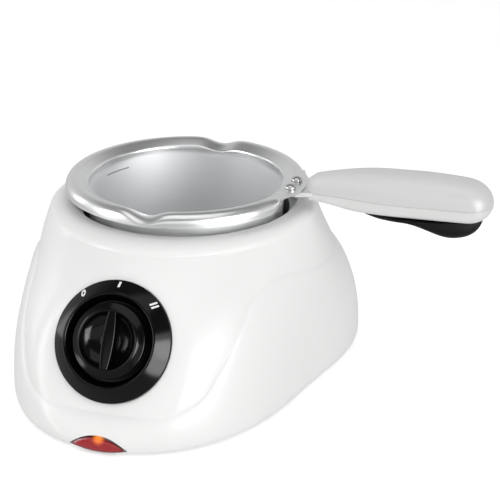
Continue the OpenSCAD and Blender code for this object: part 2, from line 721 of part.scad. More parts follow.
module control_knob() color("black") on_dial() {
    difference() {
        union() {
            translate([0, 0, knob_low]) cylinder(r = knob_r, h = skirt_h, $fn = 96);
            translate([0, 0, knob_low + skirt_h]) cylinder(r1 = knob_r - knob_wall / 2, r2 = cap_r,
                h = bar_h - knob_low - skirt_h, $fn = 96);
        }
        for (s = [-1, 1]) translate([s * (bar_w / 2 + scoop_r), knob_r + over, scoop_floor + scoop_r])
            rotate([90, 0, 0]) cylinder(r = scoop_r, h = 2 * (knob_r + over), $fn = 96);
        for (s = [-1, 1])
            translate([s * (bar_w / 2 + scoop_r + knob_r) - knob_r, -knob_r - over, scoop_floor])
            cube([2 * knob_r, 2 * (knob_r + over), bar_h]);
        translate([0, 0, knob_low - over]) cylinder(r = nut_out_r + fit, h = over + nut_t, $fn = 48);
        intersection() {
            translate([0, 0, knob_low - over]) cylinder(r = shaft_r, h = shaft_top - knob_low + over);
            translate([-shaft_r, -shaft_r, knob_low - over])
                cube([1.5 * shaft_r, 2 * shaft_r, shaft_top - knob_low + over]);
        }
        translate([0, 0, knob_low - over]) cylinder(r = neck_r + fit,
            h = neck_len + switch_face + fit + over - knob_low, $fn = 48);
    }
}

// Indicator: lens, lamp and its holder
lamp_r = 2.4;
lamp_len = 13;
lamp_behind = 8;
lamp_out = side_r(0, lens_top_z) - wall_t - lamp_behind;
holder_w = 6;
holder_wall = 1.2;
lamp_z = plate_top + lamp_r + holder_wall;
module indicator_lens() color("crimson") {
    intersection() {
        wall_patch(lens_span_angle, lens_low_z, lens_top_z + over, lens_proud, lens_t);
        lens_prism(fit / 2);
    }
}
module neon_lamp() color("orange") {
    translate([-lamp_len / 2, -lamp_out, lamp_z]) rotate([0, 90, 0]) {
        cylinder(r = lamp_r, h = lamp_len - lamp_r, $fn = 32);
        translate([0, 0, lamp_len - lamp_r]) sphere(r = lamp_r, $fn = 32);
    }
}
module lamp_holder() color("white") {
    difference() {
        translate([-holder_w / 2, -lamp_out - lamp_r - holder_wall, plate_top])
            cube([holder_w, 2 * (lamp_r + holder_wall), lamp_z - plate_top + lamp_r / 2]);
        translate([-holder_w, -lamp_out, lamp_z]) rotate([0, 90, 0])
            cylinder(r = lamp_r + fit / 3, h = 2 * holder_w, $fn = 48);
    }
}

// Supply side: terminal block, gland and cord clamp
block_w = 26;
block_d = 12;
block_h = 11;
block_out = 50;
block_side = -26;
pole_r = 2.2;
pole_pitch = 8;
block_low = 2;
wire_hole_share = 0.8;
module terminal_block() color("white") {
    difference() {
        translate([block_side - block_w / 2, block_out - block_d / 2, plate_top])
            cube([block_w, block_d, block_h]);
        for (i = [-1 : 1]) {
            translate([block_side + i * pole_pitch, block_out, plate_top + block_low])
                cylinder(r = pole_r, h = block_h, $fn = 32);
            translate([block_side + i * pole_pitch, block_out - block_d, plate_top + block_h / 2])
                rotate([-90, 0, 0]) cylinder(r = pole_r * wire_hole_share, h = 2 * block_d, $fn = 32);
        }
    }
}
module cord_gland() color("white") {
    translate([0, gland_seat, gland_z]) rotate([-90, 0, 0]) difference() {
        union() {
            cylinder(r1 = gland_flange_r, r2 = gland_flange_r - gland_flange_t / 2, h = gland_flange_t,
                $fn = 64);
            translate([0, 0, -gland_tail]) cylinder(r = gland_r, h = gland_tail + over, $fn = 64);
            translate([0, 0, -wall_t - gland_gap - gland_flange_t])
                cylinder(r = gland_inner_r, h = gland_flange_t, $fn = 64);
        }
        translate([0, 0, -gland_tail - over])
            cylinder(r = gland_bore_r, h = gland_tail + gland_flange_t + 2 * over, $fn = 48);
    }
}
saddle_gap = 10;
saddle_y = gland_seat - gland_tail - saddle_gap;
saddle_w = 20;
saddle_d = 8;
saddle_roof = 2;
saddle_h = gland_z - plate_top + gland_bore_r + saddle_roof;
saddle_screw_share = 0.8;
saddle_screw_out = 7;
module cord_clamp() color("white") {
    difference() {
        translate([-saddle_w / 2, saddle_y - saddle_d / 2, plate_top]) cube([saddle_w, saddle_d, saddle_h]);
        translate([0, saddle_y - saddle_d, gland_z]) rotate([-90, 0, 0])
            cylinder(r = gland_bore_r, h = 2 * saddle_d, $fn = 48);
        for (s = [-1, 1]) translate([s * saddle_screw_out, saddle_y, plate_top - over])
            cylinder(r = small_screw_r, h = saddle_h + 2 * over, $fn = 24);
    }
}
module clamp_screws() color("silver") {
    for (s = [-1, 1]) translate([s * saddle_screw_out, saddle_y, plate_top + saddle_h]) rotate([180, 0, 0])
        screw_up(small_screw_r - fit / 6, saddle_h * saddle_screw_share, small_head_r, small_head_h);
}

// Inner leads, each swept along one cubic curve
lead_r = 1.3;
lead_rings = 12;
lead_sides = 8;
steep = 0.9;
function curve_at(c, t) = pow(1 - t, 3) * c[0] + 3 * pow(1 - t, 2) * t * c[1]
    + 3 * (1 - t) * t * t * c[2] + pow(t, 3) * c[3];
function curve_dir(c, t) = pow(1 - t, 2) * (c[1] - c[0]) + 2 * (1 - t) * t * (c[2] - c[1])
    + t * t * (c[3] - c[2]);
function unit(v) = v / norm(v);
module lead(c, r) {
    rings = [for (i = [0 : lead_rings]) let(t = i / lead_rings, p = curve_at(c, t), d = unit(curve_dir(c, t)),
        side = unit(cross(d, abs(d[2]) > steep ? [0, 1, 0] : [0, 0, 1])), up = cross(side, d))
        [for (k = [0 : lead_sides - 1]) let(q = k * 360 / lead_sides)
            p + r * (cos(q) * side + sin(q) * up)]];
    n = lead_sides;
    polyhedron(points = [for (g = rings) for (p = g) p],
        faces = concat([[for (k = [0 : n - 1]) n - 1 - k], [for (k = [0 : n - 1]) lead_rings * n + k]],
            [for (i = [0 : lead_rings - 1]) for (k = [0 : n - 1]) let(k2 = (k + 1) % n)
                each [[i * n + k, i * n + k2, (i + 1) * n + k2],
                    [i * n + k, (i + 1) * n + k2, (i + 1) * n + k]]]),
        convexity = 6);
}
// Ends of the leads, on the pieces that they join
dial_back = blade_end - lead_r;
function dial_point(x, y, z) = [x, -dial_out - z * cos(dial_tilt) + y * sin(dial_tilt),
    dial_z + z * sin(dial_tilt) + y * cos(dial_tilt)];
switch_tab_a = dial_point(-switch_w / 4, 0, dial_back);
switch_tab_b = dial_point(switch_w / 4, 0, dial_back);
switch_back_dir = [0, cos(dial_tilt), -sin(dial_tilt)];
function pole_end(i) = [block_side + i * pole_pitch, block_out - block_d / 2 + lead_r,
    plate_top + block_h / 2];
element_tab_a = [-tab_spread, element_r + tab_len + lead_r, tab_z];
element_tab_b = [tab_spread, element_r + tab_len + lead_r, tab_z];
stat_tab = [0, -stat_neck_r - blade_len, stat_z - stat_neck_h - lead_r];
fuse_end = fuse_len / 2 + fuse_wire + fit;
fuse_end_a = [-fuse_end, fuse_y, fuse_z];
fuse_end_b = [fuse_end, fuse_y, fuse_z];
run_out_share = 1.6;
floor_run_z = plate_top + lead_r + fit;
module live_lead() color("brown")
    lead([pole_end(-1), pole_end(-1) - [0, block_out / 2, 0],
        [-shoulder_r, -shoulder_r / 2, floor_run_z], switch_tab_a], lead_r);
module switched_lead() color("black")
    lead([switch_tab_b, switch_tab_b + switch_back_dir * switch_w,
        [element_r * run_out_share, fuse_y, floor_run_z], fuse_end_b], lead_r);
module fuse_lead() color("red")
    lead([fuse_end_a, fuse_end_a - [element_r / 2, 0, 0], [-element_r, element_r, floor_run_z],
        element_tab_a], lead_r);
module return_lead() color("royalblue")
    lead([pole_end(1), pole_end(1) - [0, block_out / 3, 0], [element_r, block_out, floor_run_z],
        element_tab_b], lead_r);
module lamp_leads() color("gold")
    lead([[-lamp_len / 2, -lamp_out, lamp_z], [-lamp_len * 2, -lamp_out, lamp_z],
        [-lamp_len * 2, -lamp_out + switch_w, floor_run_z], pole_end(0)], lead_r / 2);

// Pot: its lip turns out over a small inner edge, rises to a crest and rolls down; two troughs cross it
pot_fillet = 6;
pot_bottom = heat_top;
pot_floor = pot_bottom + sheet_t;
crest_z = pot_top + lip_rise;
lip_r = lip_reach - lip_roll;
lip_z = crest_z - lip_roll;
lip_skirt = 1.7;
inner_edge_r = 1.5;
inner_edge = [pot_r + inner_edge_r, pot_top - inner_edge_r];
edge_run = [lip_r - inner_edge[0], lip_z - inner_edge[1]];
// Angle at which the tangent between the two arcs leaves them
lip_turn = atan2(edge_run[1], edge_run[0]) + acos((inner_edge_r - lip_roll) / norm(edge_run));
lip_steps = 10;
function arc_points_at(c, r, from, to) = [for (i = [0 : lip_steps])
    let(t = from + (to - from) * i / lip_steps) [c[0] + r * cos(t), c[1] + r * sin(t)]];
module pot_body() {
    rotate_extrude($fn = 144) polygon(concat(
        [[0, pot_bottom]],
        corner(pot_floor_r + sheet_t - pot_fillet, pot_bottom + pot_fillet, pot_fillet, 270, 360),
        arc_points_at(inner_edge, inner_edge_r - sheet_t, 180, lip_turn),
        arc_points_at([lip_r, lip_z], lip_roll - sheet_t, lip_turn, 0),
        [[lip_reach - sheet_t, lip_z - lip_skirt], [lip_reach, lip_z - lip_skirt]],
        arc_points_at([lip_r, lip_z], lip_roll, 0, lip_turn),
        arc_points_at(inner_edge, inner_edge_r, lip_turn, 180),
        corner(pot_floor_r + sheet_t - pot_fillet, pot_bottom + pot_fillet, pot_fillet - sheet_t, 360, 270),
        [[0, pot_floor]]));
}
spout_slope = 8;
spout_proud = 0.4;
spout_rim = 0.3;
spout_len = lip_reach - pot_r + spout_proud;
module spout_trough(r, len) {
    translate([0, -pot_r, crest_z - spout_depth + spout_r]) rotate([90 + spout_slope, 0, 0])
        translate([0, 0, -spout_r]) cylinder(r = r, h = spout_r + len, $fn = 64);
}
// Tongue: the lip's sheet carried on flat towards the handle, where the roll is cut away
tongue_lean = 20;
tongue_top = lip_z + lip_roll * cos(tongue_lean);
tongue_in_r = lip_r - lip_roll * sin(tongue_lean);
tongue_low = tongue_top - sheet_t;
tongue_out = 2;
tongue_end = lip_reach + tongue_out;
tongue_half = 10;
tongue_root_half = 17;
rivet_offset = 0.8;
rivet_out = lip_r + rivet_offset;
rivet_side = 5.6;
rivet_r = 1.6;
rivet_head_r = 2.7;
rivet_head_h = 1.5;
module tongue_plan() {
    polygon([[tongue_in_r, -tongue_root_half], [lip_reach - tongue_out, -tongue_half - tongue_out],
        [tongue_end - tongue_out / 2, -tongue_half], [tongue_end, 0],
        [tongue_end - tongue_out / 2, tongue_half],
        [lip_reach - tongue_out, tongue_half + tongue_out], [tongue_in_r, tongue_root_half]]);
}
module pot() color("silver") {
    difference() {
        union() {
            difference() {
                pot_body();
                // The roll gives way to the tongue
                intersection() {
                    translate([0, -tongue_half - tongue_out, pot_bottom])
                        cube([2 * lip_reach, 2 * (tongue_half + tongue_out), pot_top]);
                    difference() {
                        cylinder(r = 2 * lip_reach, h = 2 * pot_top);
                        translate([0, 0, -over])
                            cylinder(r = tongue_in_r, h = 2 * pot_top + 2 * over, $fn = 144);
                    }
                }
            }
            for (a = [0, 180]) rotate([0, 0, a]) intersection() {
                difference() {
                    spout_trough(spout_r + sheet_t, spout_len);
                    cylinder(r = pot_r + sheet_t / 3, h = 2 * pot_top, $fn = 144);
                }
                translate([-2 * spout_r, -2 * pot_r, 0]) cube([4 * spout_r, 2 * pot_r, crest_z - spout_rim]);
            }
            difference() {
                translate([0, 0, tongue_low]) linear_extrude(sheet_t) tongue_plan();
                cylinder(r = tongue_in_r, h = 2 * pot_top, $fn = 144);
            }
        }
        for (a = [0, 180]) rotate([0, 0, a]) spout_trough(spout_r, spout_len + over);
        for (s = [-1, 1]) translate([rivet_out, s * rivet_side, tongue_low - over])
            cylinder(r = rivet_r, h = sheet_t + 2 * over, $fn = 32);
    }
}

// Bracket between pot and handle, with its tang inside the handle
bracket_sheet = 2;
plate_low = tongue_low - bracket_sheet;
parting_z = plate_low + parting_lift;
bracket_start = tongue_in_r + fit;
bracket_half = tongue_half - 2 * fit;
tang_gap = 0.8;
tang_half = neck_half - handle_wall - tang_gap;
tang_len = 42;
tang_end = handle_start + tang_len;
bracket_end = handle_start - fit;
bracket_outline = [[bracket_start, bracket_half], [lip_reach, bracket_half], [bracket_end, neck_half],
    [bracket_end, tang_half], [tang_end, tang_half]];
// Places of the handle's screws along the handle, and of their holes in the level tang
handle_screw_at = [16, 34];
function tang_low_at(x) = -parting_lift - x * tan(handle_rise);
tang_hole_out = [for (x = handle_screw_at)
    handle_start + x * cos(handle_rise) - tang_low_at(x) * sin(handle_rise)];
handle_screw_r = 1.4;
handle_head_r = 2.6;
handle_head_h = 1.2;
module handle_bracket() color("silver") {
    translate([0, 0, plate_low]) difference() {
        linear_extrude(bracket_sheet) polygon(concat(bracket_outline,
            [for (i = [len(bracket_outline) - 1 : -1 : 0]) [bracket_outline[i][0], -bracket_outline[i][1]]]));
        for (s = [-1, 1]) translate([rivet_out, s * rivet_side, -over])
            cylinder(r = rivet_r, h = bracket_sheet + 2 * over, $fn = 32);
        for (x = tang_hole_out) translate([x, 0, -over])
            cylinder(r = handle_screw_r + fit, h = bracket_sheet + 2 * over, $fn = 32);
    }
}
rivet_dome_r = (rivet_head_r * rivet_head_r + rivet_head_h * rivet_head_h) / (2 * rivet_head_h);
module rivet_head() {
    intersection() {
        translate([0, 0, rivet_head_h - rivet_dome_r]) sphere(r = rivet_dome_r, $fn = 64);
        cylinder(r = rivet_head_r, h = rivet_head_h + over, $fn = 64);
    }
}
module handle_rivets() color("gainsboro") {
    for (s = [-1, 1]) translate([rivet_out, s * rivet_side, 0]) {
        translate([0, 0, plate_low]) cylinder(r = rivet_r, h = tongue_top - plate_low, $fn = 32);
        translate([0, 0, tongue_top]) rivet_head();
        translate([0, 0, plate_low]) mirror([0, 0, 1]) rivet_head();
    }
}

// Handle: its own frame starts at the neck, on the parting plane, and leans up to the free end
handle_len = handle_end - handle_start;
end_round = 12.5;
end_power = 2.2;
sections = 20;
section_points = 12;
station_power = 1.7;
dome_power = 0.75;
// Shares of the handle's length and heights at which its form changes
widest_share = 0.52;
neck_dome_share = 0.7;
dome_up_share = 0.43;
dome_fall_from_share = 0.635;
dome_fall_share = 0.56;
end_dome_share = 0.27;
dome_end_share = 1.1;
last_share = 0.9985;
inner_end_share = 1.1;
low_neck_share = 0.58;
low_full_share = 0.29;
low_end_share = 0.5;
low_narrow_share = 0.1;
thin = 0.2;
module on_handle() {
    translate([handle_start, 0, parting_z]) rotate([0, -handle_rise, 0]) children();
}
// Places of the sections, closer together at the rounded end
function station(i) = let(t = i / sections) handle_len * (1 - pow(1 - t, station_power));
function end_close(x, e) = let(t = clamp((x - (handle_len - e)) / e, 0, 1))
    pow(max(1 - pow(t, end_power), 0), 1 / end_power);
function half_w(x) = (neck_half + (grip_half - neck_half) * ease(x / handle_len / widest_share))
    * end_close(x, end_round);
function dome(x) = dome_h * (neck_dome_share + (1 - neck_dome_share) * ease(x / handle_len / dome_up_share)
    - end_dome_share * ease((x / handle_len - dome_fall_from_share) / dome_fall_share))
    * end_close(x, end_round * dome_end_share);
function dome_section(x, w, h) = [for (j = [0 : section_points]) let(q = 180 * j / section_points)
    [x, w * cos(q), h * pow(sin(q), dome_power)]];
last_out = handle_len * last_share;
function out_x(i) = min(station(i), last_out);
function in_x(i) = min(station(i), handle_len - handle_wall * inner_end_share);
function in_w(i) = max(half_w(out_x(i)) - handle_wall, thin);
boss_wall = 1.4;
pilot_len = 4;
function low_h(x) = lower_h * (low_neck_share + (1 - low_neck_share) * ease(x / handle_len / low_full_share))
    * end_close(x, end_round * low_end_share);
function low_section(x, w, h) = [for (j = [0 : section_points]) let(q = 180 * j / section_points)
    [x, w * cos(q) / max(abs(cos(q)), abs(sin(q))) * (1 - low_narrow_share * pow(sin(q), 2)),
     -h * min(1, sin(q) / max(abs(cos(q)), thin / 100))]];
module handle_upper_shell() color("gainsboro") on_handle() difference() {
    union() {
        sheet_solid(
            [for (i = [0 : sections]) dome_section(out_x(i), half_w(out_x(i)), dome(out_x(i)))],
            [for (i = [0 : sections])
                dome_section(in_x(i), in_w(i), max(dome(out_x(i)) - handle_wall, thin))]);
        for (x = handle_screw_at) let(low = tang_low_at(x) + bracket_sheet + fit) translate([x, 0, low])
            cylinder(r = handle_screw_r + boss_wall, h = dome(x) - handle_wall / 2 - low, $fn = 32);
    }
    for (x = handle_screw_at) translate([x, 0, tang_low_at(x)])
        cylinder(r = handle_screw_r, h = bracket_sheet + fit + pilot_len, $fn = 32);
}
module handle_lower_shell() color("whitesmoke") on_handle() difference() {
    union() {
        sheet_solid(
            [for (i = [0 : sections])
                low_section(in_x(i), in_w(i), max(low_h(out_x(i)) - handle_wall, thin / 2))],
            [for (i = [0 : sections]) low_section(out_x(i), half_w(out_x(i)), max(low_h(out_x(i)), thin))]);
        for (x = handle_screw_at) translate([x, 0, -low_h(x) + handle_wall / 2])
            cylinder(r = handle_screw_r + boss_wall, h = low_h(x) - handle_wall / 2 + tang_low_at(x) - fit,
                $fn = 32);
    }
    for (x = handle_screw_at) {
        translate([x, 0, -low_h(x) - over])
            cylinder(r = handle_screw_r + fit / 2, h = low_h(x) + over, $fn = 32);
        translate([x, 0, -low_h(x) - over])
            cylinder(r = handle_head_r + fit / 2, h = over + handle_head_h + fit, $fn = 32);
    }
}
grip_start_share = 0.3;
grip_end_gap = 4.6;
grip_peak_share = 0.76;
// Share of the depth that the thin front stretch has, where it is reached, and where the belly sets in
grip_thin_share = 0.25;
grip_thin_at_share = 0.18;
grip_belly_share = 0.38;
grip_narrow = 1.4;
grip_sections = 16;
grip_power = 0.6;
grip_skin = 0.35;
grip_gap = 0.05;
grip_end_shares = [0.015, 0.985];
grip_start = handle_len * grip_start_share;
grip_len = handle_len - grip_start - grip_end_gap;
function grip_t(i) = i / grip_sections;
function grip_x(i) = grip_start + grip_len * grip_t(i);
function grip_fall(t) = t < grip_peak_share
    ? grip_thin_share * sqrt(min(t / grip_thin_at_share, 1))
        + (1 - grip_thin_share) * ease((t - grip_belly_share) / (grip_peak_share - grip_belly_share))
    : sqrt(max(1 - pow((t - grip_peak_share) / (1 - grip_peak_share), 2), 0));
function grip_w(i) = let(t = grip_end_shares[0] + (grip_end_shares[1] - grip_end_shares[0]) * grip_t(i))
    max((half_w(min(grip_x(i), last_out)) - grip_narrow) * sqrt(sin(180 * t)), thin);
module soft_grip() color("black") on_handle() {
    sheet_solid(
        [for (i = [0 : grip_sections]) [for (j = [0 : section_points]) let(q = 180 * j / section_points)
            [grip_x(i), grip_w(i) * cos(q), -low_h(grip_x(i)) - grip_gap]]],
        [for (i = [0 : grip_sections]) [for (j = [0 : section_points]) let(q = 180 * j / section_points)
            [grip_x(i), grip_w(i) * cos(q), -low_h(grip_x(i)) - grip_skin
                - grip_depth * grip_fall(grip_t(i)) * pow(sin(q), grip_power)]]]);
}
module handle_screws() color("silver") on_handle() {
    for (x = handle_screw_at) let(seat = -low_h(x) + handle_head_h + fit) translate([x, 0, seat])
        screw_up(handle_screw_r - fit / 6, tang_low_at(x) + bracket_sheet + pilot_len - seat, handle_head_r,
            handle_head_h);
}

housing();
base_plate();
rubber_feet();
base_screws();
heating_well();
well_ring();
ring_screws();
heater_plate();
heater_element();
insulation_disc();
clamp_plate();
clamp_nuts();
thermostat();
thermostat_bracket();
bracket_screws();
thermal_fuse();
fuse_clip();
dial_bezel();
bezel_screws();
switch_body();
switch_cover();
switch_nut();
switch_shaft();
control_knob();
indicator_lens();
neon_lamp();
lamp_holder();
terminal_block();
cord_gland();
cord_clamp();
clamp_screws();
live_lead();
switched_lead();
return_lead();
fuse_lead();
lamp_leads();
pot();
handle_bracket();
handle_rivets();
handle_upper_shell();
handle_lower_shell();
soft_grip();
handle_screws();
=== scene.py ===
# %% [markdown]
# # Electric melting pot: the looks
# The construction model gives every piece its place and size. This lesson loads it as a fixed frame,
# gives each node a finish, and models the pieces whose soft, rounded forms show from a step away.

# %% Load the frame
import json
import math

import bpy
from mathutils import Matrix, Vector


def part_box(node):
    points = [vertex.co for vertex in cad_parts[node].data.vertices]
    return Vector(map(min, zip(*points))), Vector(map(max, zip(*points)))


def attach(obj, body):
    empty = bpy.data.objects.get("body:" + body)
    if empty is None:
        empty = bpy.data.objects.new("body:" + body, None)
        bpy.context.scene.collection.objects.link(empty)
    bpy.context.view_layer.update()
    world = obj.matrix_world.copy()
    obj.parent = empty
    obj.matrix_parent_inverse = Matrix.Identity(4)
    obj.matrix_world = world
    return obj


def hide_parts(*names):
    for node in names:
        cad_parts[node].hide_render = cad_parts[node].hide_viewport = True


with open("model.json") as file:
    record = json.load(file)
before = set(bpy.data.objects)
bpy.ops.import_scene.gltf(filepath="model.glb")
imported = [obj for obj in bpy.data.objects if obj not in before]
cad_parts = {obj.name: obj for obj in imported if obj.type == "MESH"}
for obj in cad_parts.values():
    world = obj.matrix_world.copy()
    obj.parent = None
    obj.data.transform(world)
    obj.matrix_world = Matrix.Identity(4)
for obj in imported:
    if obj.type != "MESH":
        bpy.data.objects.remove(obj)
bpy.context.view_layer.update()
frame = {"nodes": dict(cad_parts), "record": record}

# %% [markdown]
# All sizes below are written in millimetres, as on a drawing, and turned to metres in one place.
# An operator works on whatever is selected, so each step first clears the selection.

# %% Units and selection helpers
MM = 0.001


def clear():
    if bpy.context.object and bpy.context.object.mode != "OBJECT":
        bpy.ops.object.mode_set(mode="OBJECT")
    bpy.ops.object.select_all(action="DESELECT")


def take(piece):
    clear()
    piece.select_set(True)
    bpy.context.view_layer.objects.active = piece
    return piece


def added(name):
    piece = bpy.context.active_object
    piece.name = piece.data.name = name
    return piece


def drop(piece):
    bpy.data.objects.remove(piece, do_unlink=True)


# %% [markdown]
# A closed body knows its outside, and Blender can find it. An open sheet doesn't, so for a sheet the
# direction is settled by the face with the least of some measure, such as the lowest one.

# %% Edit-mode helpers
def edit(piece, kind="FACE"):
    take(piece)
    bpy.ops.object.mode_set(mode="EDIT")
    bpy.ops.mesh.select_mode(type=kind)
    bpy.ops.mesh.select_all(action="SELECT")


def close(piece, outwards=True):
    edit(piece, "VERT")
    bpy.ops.mesh.remove_doubles(threshold=1e-6)
    if outwards:
        bpy.ops.mesh.normals_make_consistent(inside=False)
    bpy.ops.object.mode_set(mode="OBJECT")


def turn_sheet(piece, measure, upwards=True):
    close(piece)
    face = min(piece.data.polygons, key=measure)
    if (face.normal.z > 0) != upwards:
        edit(piece)
        bpy.ops.mesh.flip_normals()
        bpy.ops.object.mode_set(mode="OBJECT")


def choose(piece, kind, test):
    edit(piece, kind)
    bpy.ops.mesh.select_all(action="DESELECT")
    bpy.ops.object.mode_set(mode="OBJECT")
    mesh = piece.data
    parts = {"VERT": mesh.vertices, "EDGE": mesh.edges, "FACE": mesh.polygons}[kind]
    for part in parts:
        part.select = bool(test(part))
    bpy.ops.object.mode_set(mode="EDIT")


def apply_modifier(piece, kind, **values):
    take(piece)
    modifier = piece.modifiers.new(kind.title(), kind)
    for key, value in values.items():
        setattr(modifier, key, value)
    bpy.ops.object.modifier_apply(modifier=modifier.name)


def carve(piece, tool, operation="DIFFERENCE"):
    apply_modifier(piece, "BOOLEAN", object=tool, operation=operation, solver="EXACT")
    drop(tool)


def join(piece, other):
    take(other)
    piece.select_set(True)
    bpy.context.view_layer.objects.active = piece
    bpy.ops.object.join()


def smooth(piece, degrees=35):
    take(piece)
    bpy.ops.object.shade_smooth_by_angle(angle=math.radians(degrees))


# %% [markdown]
# Soft forms such as the bell-shaped housing follow a rule, not a cut. A grid primitive is laid over the
# rule: each of its points has a place across and along the grid, and the rule says where it lies.

# %% A grid laid over a form
def laid_grid(name, across, along, rule):
    clear()
    bpy.ops.mesh.primitive_grid_add(x_subdivisions=across, y_subdivisions=along, size=1)
    piece = added(name)
    for vertex in piece.data.vertices:
        u, v = vertex.co.x + 0.5, vertex.co.y + 0.5
        vertex.co = Vector(rule(round(u * across), round(v * along))) * MM
    return piece


def blend(t):
    t = min(max(t, 0), 1)
    return t * t * (3 - 2 * t)


def mix(a, b, t):
    return a + (b - a) * t


# %% A profile turned round an axis
def lathe(name, profile, steps=128):
    return laid_grid(name, steps, len(profile) - 1, lambda i, j: (
        profile[j][0] * math.cos(math.tau * i / steps), profile[j][0] * math.sin(math.tau * i / steps),
        profile[j][1]))


def arc(cx, cz, r, start, end, steps=6):
    turns = [math.radians(mix(start, end, i / steps)) for i in range(steps + 1)]
    return [(cx + r * math.cos(t), cz + r * math.sin(t)) for t in turns]


# %% [markdown]
# ## Camera
# The camera stands where the photograph was taken: to the front right, a little above the rim, with a
# long lens, so that the object's upright lines hardly lean.

# %% Camera
camera_place = Vector((258.0, -691.8, 362.0)) * MM
camera_aim = Vector((-0.2842, 0.8771, -0.3871))
camera_lens, camera_sensor = 112.39, 36
camera_data = bpy.data.cameras.new("photo_camera")
camera_data.sensor_width, camera_data.lens = camera_sensor, camera_lens
camera_data.clip_start, camera_data.clip_end = 0.05, 20
camera = bpy.data.objects.new("photo_camera", camera_data)
bpy.context.scene.collection.objects.link(camera)
camera.location = camera_place
camera.rotation_mode = "QUATERNION"
camera.rotation_quaternion = camera_aim.to_track_quat("-Z", "Y")
bpy.context.scene.camera = camera
print("camera at", tuple(round(c, 3) for c in camera_place))

# %% [markdown]
# ## Studio
# White plastic and steel show what surrounds them. Large soft lamps and a pale floor give the broad,
# gentle light of a product photograph. The floor adds some white of its own, more of it where the camera
# looks straight at it, so that the ground is white and the object's soft shadow still shows on it.

# %% Small node helpers
def new_material(name):
    material = bpy.data.materials.new(name)
    material.use_nodes = True
    nodes = material.node_tree.nodes
    return material, nodes, material.node_tree.links, nodes["Principled BSDF"]


def node(nodes, kind, **values):
    made = nodes.new("ShaderNode" + kind)
    for key, value in values.items():
        if hasattr(made, key):
            setattr(made, key, value)
        else:
            made.inputs[key.replace("_", " ")].default_value = value
    return made


# %% Floor
floor_size, floor_grey, floor_rough = 12, 0.8, 0.9
bounce_glow, camera_glow = 0.16, 0.42
clear()
bpy.ops.mesh.primitive_plane_add(size=floor_size)
floor = added("floor")
floor_paint, nodes, links, base = new_material("floor_paint")
base.inputs["Base Color"].default_value = (floor_grey, floor_grey, floor_grey, 1)
base.inputs["Roughness"].default_value = floor_rough
base.inputs["Specular IOR Level"].default_value = 0
glow = node(nodes, "Emission")
both = node(nodes, "AddShader")
path = node(nodes, "LightPath")
strength = node(nodes, "MapRange")
strength.inputs["To Min"].default_value = bounce_glow
strength.inputs["To Max"].default_value = camera_glow
links.new(path.outputs["Is Camera Ray"], strength.inputs["Value"])
links.new(strength.outputs["Result"], glow.inputs["Strength"])
links.new(base.outputs[0], both.inputs[0])
links.new(glow.outputs[0], both.inputs[1])
links.new(both.outputs[0], nodes["Material Output"].inputs["Surface"])
floor.data.materials.append(floor_paint)
floor.visible_glossy = False
print("floor:", floor_size, "m square")

# %% [markdown]
# Gloss needs something to mirror. A room that is white all round makes steel flat and black plastic grey,
# so the world has a second face that only mirror reflections see: a pale table below, a pale wall behind
# and at the left, a dim ceiling and front, and two bright upright boxes that draw the light patches on the
# dial. The light that falls on the object still comes from the even room and the lamps. The helpers below
# work on the direction that a ray looks in: its X is to the right, its Y to the back and its Z up.

# %% World
room_level, white_level = 0.54, 1.0
world = bpy.data.worlds.new("studio")
bpy.context.scene.world = world
world.use_nodes = True
nodes, links = world.node_tree.nodes, world.node_tree.links
room = nodes["Background"]
room.inputs["Color"].default_value = (1, 1, 1, 1)
room.inputs["Strength"].default_value = room_level
white = node(nodes, "Background", Strength=white_level)
white.inputs["Color"].default_value = (1, 1, 1, 1)
mirrored = node(nodes, "Background")
direction = node(nodes, "TexCoord")
parts = node(nodes, "SeparateXYZ")
links.new(direction.outputs["Generated"], parts.inputs["Vector"])


# %% Helpers for the mirrored room
def ranged(source, start, end):
    """Rises from 0 at start to 1 at end, whichever of the two is larger."""
    made = node(nodes, "MapRange", interpolation_type="SMOOTHSTEP")
    made.inputs["From Min"].default_value = min(start, end)
    made.inputs["From Max"].default_value = max(start, end)
    made.inputs["To Min"].default_value = float(start > end)
    made.inputs["To Max"].default_value = float(end > start)
    links.new(source, made.inputs["Value"])
    return made.outputs["Result"]


def math_of(operation, first, second):
    made = node(nodes, "Math", operation=operation)
    for k, value in enumerate((first, second)):
        if isinstance(value, (int, float)):
            made.inputs[k].default_value = value
        else:
            links.new(value, made.inputs[k])
    return made.outputs["Value"]


def seen_along(axis):
    made = node(nodes, "VectorMath", operation="DOT_PRODUCT")
    made.inputs[1].default_value = axis
    links.new(direction.outputs["Generated"], made.inputs[0])
    return made.outputs["Value"]


def mirrored_box(centre, half_wide, half_high, level, soft=0.02):
    centre = Vector(centre).normalized()
    across = centre.cross((0, 0, 1)).normalized()
    mask = level
    for axis, half in ((across, half_wide), (across.cross(centre), half_high)):
        far = math_of("ABSOLUTE", seen_along(axis), 0)
        mask = math_of("MULTIPLY", mask, ranged(far, half + soft, half - soft))
    return math_of("MULTIPLY", mask, ranged(seen_along(centre), 0, 0.1))


